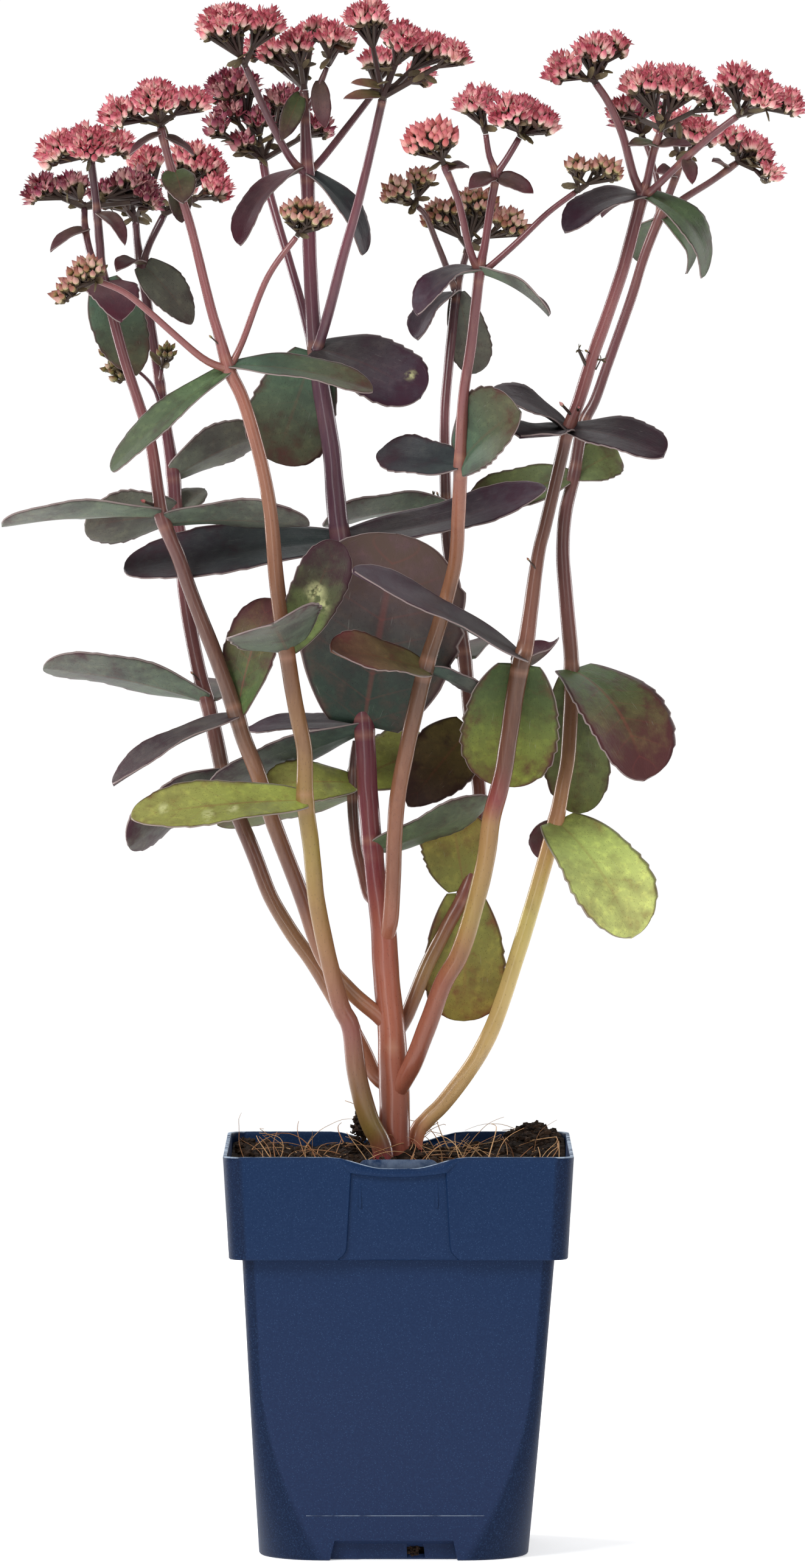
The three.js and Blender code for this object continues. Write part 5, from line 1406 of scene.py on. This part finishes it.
def pot_rings():
    """From the foot up the outside, over the rim and down the inside."""
    body = [0.5, 2, 4, NOTCH_HEIGHT - 0.05, NOTCH_HEIGHT + 0.05, 8, 11, 15, 20, 25, 30, 36, 42]
    body += [48, 55, 62, 70, 80, 90, 95.3]
    rings = [("body", 0, 0.5)] + [("body", z, 0) for z in body]
    rings += [("collar", 0, 0.35), ("collar", 0.01, 0)]
    rings += [("collar", PANEL_END * (k / 22) ** 1.4, 0) for k in range(3, 23)]
    rings += [("collar", level, 0) for level in (LIP_START, 0.86, 0.9, 0.95, 0.985)]
    rings += [("collar", 0.997, 0.12), ("collar", 1, 0.4)]
    rings += [("collar", 1, WALL - 0.4), ("collar", 0.997, WALL - 0.12)]
    inside = (0.985, 0.95, 0.88, 0.82, 0.79, 0.6, 0.4, 0.2, 0.08)
    rings += [("collar", level, WALL) for level in inside]
    inside = (94, 60, 30, 12, NOTCH_HEIGHT + 0.9, NOTCH_HEIGHT + 0.8, 4, FLOOR)
    return rings + [("body", z, WALL) for z in inside]


def dressed_pot(materials):
    """The pot's shell: rings drawn up and over from its foot, its floors filled at both ends."""
    pot = bmesh.new()
    column = pot.verts.layers.int.new("column")
    wear, turned = (pot.verts.layers.float.new(n) for n in ("wear", "turned"))
    rings = pot_rings()
    first = ring_points(*rings[0])
    made = bmesh.ops.create_circle(pot, segments=len(first), radius=1)["verts"]
    for i, vert in enumerate(made):
        vert[column] = i
        vert.co = first[i]
    edges = pot.edges[:]
    bmesh.ops.contextual_create(pot, geom=edges)
    for ring in rings[1:]:
        points = ring_points(*ring)
        raised = bmesh.ops.extrude_edge_only(pot, edges=edges)["geom"]
        edges = [g for g in raised if isinstance(g, bmesh.types.BMEdge)]
        at_rim = ring[0] == "collar" and ring[1] > 0.98
        for vert in (g for g in raised if isinstance(g, bmesh.types.BMVert)):
            vert.co = points[vert[column]]
            vert[wear] = 1.0 if at_rim and 0.05 < ring[2] < WALL - 0.05 else 0.0
            # Marks the corner columns, which the plastic darkens as painted shade.
            vert[turned] = 1.0 if vert[column] % SIDE_COLUMNS >= len(SIDE_SHARES) else 0.0
    bmesh.ops.contextual_create(pot, geom=edges)
    bmesh.ops.recalc_face_normals(pot, faces=pot.faces)
    drain_holes(pot)
    label_pocket(pot)
    moulded_line(pot)
    piece = finished(pot, "pot_dressed", materials, "pot")
    piece.data.set_sharp_from_angle(angle=math.radians(38))
    return piece


def drain_holes(pot):
    """A slot through the notches at the front and back, its two rims joined. The foot's lean moves
    the walls of the side notches out of reach, so those stay whole."""
    for side in range(4):
        back = Matrix.Rotation(-side * math.pi / 2, 3, "Z")
        walls = {}
        for depth, high in ((0, NOTCH_HEIGHT - 0.3), (WALL, NOTCH_HEIGHT + 0.3)):
            found = []
            for face in pot.faces:
                at = back @ face.calc_center_median()
                normal = back @ face.normal
                deep = body_width(at.z) / 2 - NOTCH_DEPTH - depth
                if DRAIN_FROM < at.x < DRAIN_TO and DRAIN_FOOT < at.z < high and at.y < -20:
                    if abs(-at.y - deep) < 0.5 and abs(normal.y) > 0.7:
                        found.append(face)
            walls[depth] = found
        if not walls[0] or not walls[WALL]:
            continue
        rims = []
        for found in walls.values():
            faces = set(found)
            edges = [e for f in found for e in f.edges]
            rims += [e for e in edges if sum(g in faces for g in e.link_faces) == 1]
            bmesh.ops.delete(pot, geom=found, context="FACES")
        rims = [e for e in rims if e.is_valid]
        bmesh.ops.bridge_loops(pot, edges=rims)


def plate(bm, low, high, rounded):
    """A plate between two corners, its edges broken and the top corners of its face rounded."""
    low, high = Vector(low), Vector(high)
    size = Matrix.Diagonal((*(high - low), 1))
    bmesh.ops.create_cube(bm, size=1, matrix=Matrix.Translation((low + high) / 2) @ size)
    if rounded:
        top = [e for e in bm.edges if all(v.co.z > high.z - 0.1 for v in e.verts)]
        across = [e for e in top if abs(e.verts[0].co.x - e.verts[1].co.x) < 0.1]
        bmesh.ops.bevel(
            bm, geom=across, offset=rounded, segments=5, profile=0.5, affect="EDGES", material=-1
        )
    rims = [e for e in bm.edges if e.calc_face_angle(0) > 0.8]
    bmesh.ops.bevel(
        bm, geom=rims, offset=0.2, segments=2, profile=0.5, affect="EDGES", material=-1
    )


def label_pocket(pot):
    """The tab that stands behind the dip in the front of the rim, and the ribs that hold it."""
    plates = [((-12.5, -51.5, 112), (12.5, -50.5, 127), 2.6)]
    plates += [((x - 0.5, -53.6, 112), (x + 0.5, -51.2, 123), 0) for x in (-12, 12)]
    for low, high, rounded in plates:
        bm = bmesh.new()
        bm.verts.layers.float.new("wear")
        plate(bm, low, high, rounded)
        for vert in bm.verts:
            # The tab's paleness is painted light on its shaded face.
            vert[bm.verts.layers.float["wear"]] = TAB_PAINTED_LIGHT if rounded else 0
        mesh = small_mesh(bm)
        pot.from_mesh(mesh)
        bpy.data.meshes.remove(mesh)


def moulded_line(pot):
    """The thin raised line low on the front and back of the pot."""
    for turn in (0, math.pi):
        made = bmesh.ops.create_cone(
            pot, segments=6, radius1=LINE_THICK / 2, radius2=LINE_THICK / 2, depth=LINE_LENGTH,
            cap_ends=True,
            matrix=Matrix.Rotation(turn, 4, "Z") @ Matrix.Translation((-1, -43.5, LINE_HEIGHT))
            @ Matrix.Rotation(math.pi / 2, 4, "Y"),
        )["verts"]
        for vert in made:
            # The line's paleness is a painted highlight.
            vert[pot.verts.layers.float["wear"]] = LINE_PAINTED_HIGHLIGHT


# The soil -----------------------------------------------------------------------------------


def soil_height(x, y):
    """The height of the soil: lumpy, higher at the back, round the stems and in the mound."""
    mound = MOUND_HEIGHT * math.exp(-((x - MOUND_X) ** 2 + (y - MOUND_Y) ** 2) / MOUND_REACH**2)
    root = 7 * math.exp(-((x + 3) ** 2 + (y - 2) ** 2) / 11**2)
    lumps = noise.noise(Vector((x, y, 0)) * 0.09) * 2.4 + noise.noise(Vector((x, y, 9)) * 0.35)
    return SOIL_LEVEL - 1.5 + lumps + mound + root + 3 * smooth(-30, 36, y)


def inside_corner(x, y, half, corner):
    """A point of a square, moved in to the arc where it lies outside a rounded corner."""
    past = Vector((max(0, abs(x) - half + corner), max(0, abs(y) - half + corner)))
    if past.length <= corner or not (past.x and past.y):
        return x, y
    past *= corner / past.length
    return math.copysign(half - corner + past.x, x), math.copysign(half - corner + past.y, y)


def crumb_mesh(draw):
    """An uneven crumb of soil, about a millimetre in radius."""
    bm = bmesh.new()
    bm.verts.layers.float.new("shade")
    for vert in bmesh.ops.create_icosphere(bm, subdivisions=1, radius=1)["verts"]:
        vert.co *= draw.uniform(0.62, 1.2)
    return small_mesh(bm)


def dressed_soil(materials, draw):
    """The soil's rough top with its crumbs, on the block that fills the pot."""
    soil = bmesh.new()
    soil.verts.layers.float.new("shade")
    bmesh.ops.create_grid(soil, x_segments=SOIL_CELLS, y_segments=SOIL_CELLS, size=SOIL_HALF)
    for vert in soil.verts:
        x, y = inside_corner(*vert.co.xy, SOIL_HALF, COLLAR_CORNER)
        vert.co = (x, y, soil_height(x, y))
        vert[soil.verts.layers.float["shade"]] = draw.random() * 0.5
    edges = [e for e in soil.edges if e.is_boundary]
    before = SOIL_HALF
    for half, z in PLUG:
        raised = bmesh.ops.extrude_edge_only(soil, edges=edges)["geom"]
        edges = [g for g in raised if isinstance(g, bmesh.types.BMEdge)]
        for vert in (g for g in raised if isinstance(g, bmesh.types.BMVert)):
            vert.co = (vert.co.x * half / before, vert.co.y * half / before, z)
        before = half
    bmesh.ops.contextual_create(soil, geom=edges)
    bmesh.ops.recalc_face_normals(soil, faces=soil.faces)
    crumbs = [crumb_mesh(draw) for _ in range(6)]

    def scatter(x, y, z, size):
        turned, tipped = (Matrix.Rotation(draw.random() * 6, 4, axis) for axis in "ZX")
        flat = size * draw.uniform(0.6, 1), size * draw.uniform(0.4, 0.9)
        spin = turned @ tipped
        matrix = Matrix.Translation((x, y, z)) @ spin @ Matrix.Diagonal((size, *flat, 1))
        add_copy(soil, draw.choice(crumbs), matrix, shade=draw.random())

    for _ in range(CRUMBS_ON_TOP):
        x, y = draw.uniform(-51.5, 51.5), draw.uniform(-51.5, 51.5)
        if y < -48.5 and abs(x) < 14:
            continue
        size = draw.choice((0.5, 0.7, 0.9, 1.2, 1.7))
        scatter(x, y, soil_height(x, y) + size * 0.2, size)
    for _ in range(CRUMBS_ON_MOUND):
        x, y = draw.gauss(MOUND_X + 1, 5), draw.gauss(MOUND_Y + 1, 5)
        if max(abs(x), abs(y)) < 50.5:
            scatter(x, y, soil_height(x, y) + draw.uniform(0, 1.1), draw.uniform(0.6, 1.7))
    for _ in range(CRUMBS_BY_STEM):
        z = draw.uniform(118, 139)
        spread = 1 - smooth(118, 142, z) * 0.7
        x, y = -12 + draw.gauss(0, 2.6) * spread, 3 + draw.gauss(0, 3) * spread
        scatter(x, y, z, draw.uniform(0.5, 1.5))
    for _ in range(CRUMBS_ON_TAB):
        x, y, z = draw.uniform(-9, -1), draw.uniform(-50, -48), draw.uniform(124, 127.4)
        scatter(x, y, z, draw.uniform(0.4, 1))
    for _ in range(CRUMBS_IN_SLOT):
        x = draw.uniform(DRAIN_FROM + 0.6, DRAIN_TO - 0.6)
        z = draw.uniform(DRAIN_LOW, DRAIN_HIGH - 0.4)
        scatter(x - 1.4, draw.uniform(-37.8, -36.4), z, draw.uniform(0.4, 0.9))
    return finished(soil, "soil_peat", materials, "soil", smooth_faces=False)


def fibre(bm, points, thick, draw):
    """A thin coir fibre along a few points, tapering to its end."""
    line = flowing([(*p, thick) for p in points], 2.4)
    rings = crossings(line)
    strand = bmesh.new()
    strand.verts.layers.float.new("shade")
    bmesh.ops.create_grid(strand, x_segments=len(rings) - 1, y_segments=4, size=0.5)
    for vert in strand.verts:
        row = round((vert.co.x + 0.5) * (len(rings) - 1))
        turn = (vert.co.y + 0.5) * math.tau
        at, _, side, other = rings[row]
        radius = thick / 2 * (1 - 0.6 * row / len(rings))
        vert.co = at + (side * math.cos(turn) + other * math.sin(turn)) * radius
    bmesh.ops.remove_doubles(strand, verts=strand.verts, dist=1e-4)
    bmesh.ops.holes_fill(strand, edges=[e for e in strand.edges if e.is_boundary], sides=0)
    mesh = small_mesh(strand)
    add_copy(bm, mesh, Matrix.Identity(4), shade=draw.random())
    bpy.data.meshes.remove(mesh)


def coir(materials, draw):
    """Loose fibres in the soil: two in five lie on it, and the rest stand or loop out of it."""
    bm = bmesh.new()
    bm.verts.layers.float.new("shade")
    for i in range(FIBRES):
        x, y = draw.uniform(-49, 49), draw.uniform(-46, 49)
        heading = draw.random() * math.tau
        standing_up = i % 5 < 3
        points = []
        z = soil_height(x, y) - 0.6
        rise = draw.uniform(0.3, 1.1) if standing_up else draw.uniform(-0.02, 0.2)
        step = draw.uniform(2.6, 5.2)
        bend = draw.uniform(-0.5, 0.5)
        for _ in range(draw.randint(4, 7)):
            points.append((x, y, z))
            x += math.cos(heading) * step * (1 - rise * 0.5)
            y += math.sin(heading) * step * (1 - rise * 0.5)
            x, y = (max(-50.5, min(50.5, k)) for k in (x, y))
            z += rise * step
            rise -= draw.uniform(0.05, 0.3) if standing_up else draw.uniform(0, 0.08)
            z = max(z, soil_height(x, y) + 0.2)
            heading += bend
        fibre(bm, points, draw.uniform(0.2, 0.48), draw)
    return finished(bm, "coir_fibres", materials, None)


def peat():
    """Dark peat: lighter and darker crumbs, all of them grainy."""
    soil = Finish("peat", Roughness=0.95, Specular_IOR_Level=0.2)
    place = soil.place()
    grain = soil.clouds(place, 420, 5)
    shade = soil.attribute("shade")
    dark = soil.mixed(shade, paint(26, 20, 17), paint(64, 47, 35))
    soil.wear(Base_Color=soil.mixed(grain.step(0.4, 0.8) * 0.6, dark, paint(24, 18, 16)))
    soil.bump(grain, 0.8, 0.0008)
    return soil.material


def coir_husk():
    """Tan coir, each fibre in a shade of its own."""
    husk = Finish("coir_husk", Roughness=0.7, Specular_IOR_Level=0.3)
    grain = husk.clouds(husk.place(), 300, 3)
    tan = husk.mixed(husk.attribute("shade"), paint(150, 98, 62), paint(206, 164, 118))
    husk.wear(Base_Color=husk.mixed(grain.step(0.5, 0.8) * 0.5, tan, paint(104, 66, 44)))
    return husk.material


# Setting: floor, light and camera --------------------------------------------------------------


# Softboxes: name, place, width and height in metres, and power in watts
SOFTBOXES = [
    ("key", (-1.7, -2.0, 2.3), (1.3, 1.3), 78),
    ("strip", (-0.95, -2.9, 0.4), (0.26, 1.3), 8),
    ("fill", (2.2, -2.2, 1.2), (1.4, 1.8), 13),
    ("back", (0.4, 2.2, 2.6), (2.4, 1.4), 28),
    ("rim_left", (-1.5, 1.1, 0.5), (0.4, 1.6), 26),
    ("rim_right", (1.5, 1.1, 0.5), (0.4, 1.6), 16),
]
LIGHTS_AIM = Vector((0, 0, 0.25))
# How strongly the white surroundings are seen, and how strongly they light the plant
WHITE_SEEN, WHITE_LIGHT = 1.02, 0.27
PAPER_GLOW = 0.44
FLOOR_HALF = 1.3
# The camera, its lens from the size of the pot in the photograph
CAMERA_PLACE = Vector((0, -3.612, 0.401))
CAMERA_AIM = Vector((0.0013, 0, 0.2424))
SENSOR = 36
LENS = SENSOR * 7.275


def softbox(name, place, size, power):
    light = bpy.data.lights.new(name, "AREA")
    light.shape = "RECTANGLE"
    light.size, light.size_y = size
    light.energy = power
    lamp = bpy.data.objects.new(name, light)
    lamp.location = place
    lamp.rotation_euler = (LIGHTS_AIM - Vector(place)).to_track_quat("-Z", "Y").to_euler()
    bpy.context.scene.collection.objects.link(lamp)


def studio():
    """A pale floor, white surroundings, soft lights and the camera of the photograph."""
    floor = bmesh.new()
    bmesh.ops.create_grid(floor, x_segments=1, y_segments=1, size=FLOOR_HALF)
    mesh = bpy.data.meshes.new("floor")
    floor.to_mesh(mesh)
    floor.free()
    paper = Finish(
        "pale_paper", Base_Color=paint(250, 250, 250), Roughness=0.9,
        Emission_Color=(1, 1, 1, 1), Emission_Strength=PAPER_GLOW,
    )
    mesh.materials.append(paper.material)
    stage = bpy.data.objects.new("floor", mesh)
    bpy.context.scene.collection.objects.link(stage)
    for box in SOFTBOXES:
        softbox(*box)
    world = bpy.data.worlds.new("studio")
    world.use_nodes = True
    nodes, links = world.node_tree.nodes, world.node_tree.links
    nodes["Background"].inputs["Color"].default_value = (1, 1, 1, 1)
    seen = nodes.new("ShaderNodeLightPath").outputs["Is Camera Ray"]
    strength = nodes.new("ShaderNodeMapRange")
    strength.inputs["To Min"].default_value = WHITE_LIGHT
    strength.inputs["To Max"].default_value = WHITE_SEEN
    links.new(seen, strength.inputs["Value"])
    links.new(strength.outputs[0], nodes["Background"].inputs["Strength"])
    scene = bpy.context.scene
    scene.world = world
    scene.view_settings.view_transform = "Standard"
    camera = bpy.data.objects.new("camera", bpy.data.cameras.new("camera"))
    camera.location = CAMERA_PLACE
    camera.rotation_euler = (CAMERA_AIM - CAMERA_PLACE).to_track_quat("-Z", "Y").to_euler()
    camera.data.sensor_width = SENSOR
    camera.data.lens = LENS
    scene.collection.objects.link(camera)
    scene.camera = camera


studio()
draw = random.Random(20)
dressed_pot([pot_plastic()])
dressed_soil([peat()], draw)
coir([coir_husk()], draw)
stem_finishes = [stem_skin(), leaf_blade()]
blooms = {kind: bloom(*look) for kind, look in BLOOMS.items()}
for stem_name, branches in STEMS.items():
    leafy_stem(stem_name, stem_finishes, draw)
    for head, route in branches:
        if head:
            flower_head(head, route, blooms, draw)

for kind in ("green", "bud", "rosebud"):
    shoots(kind, blooms[kind], draw)
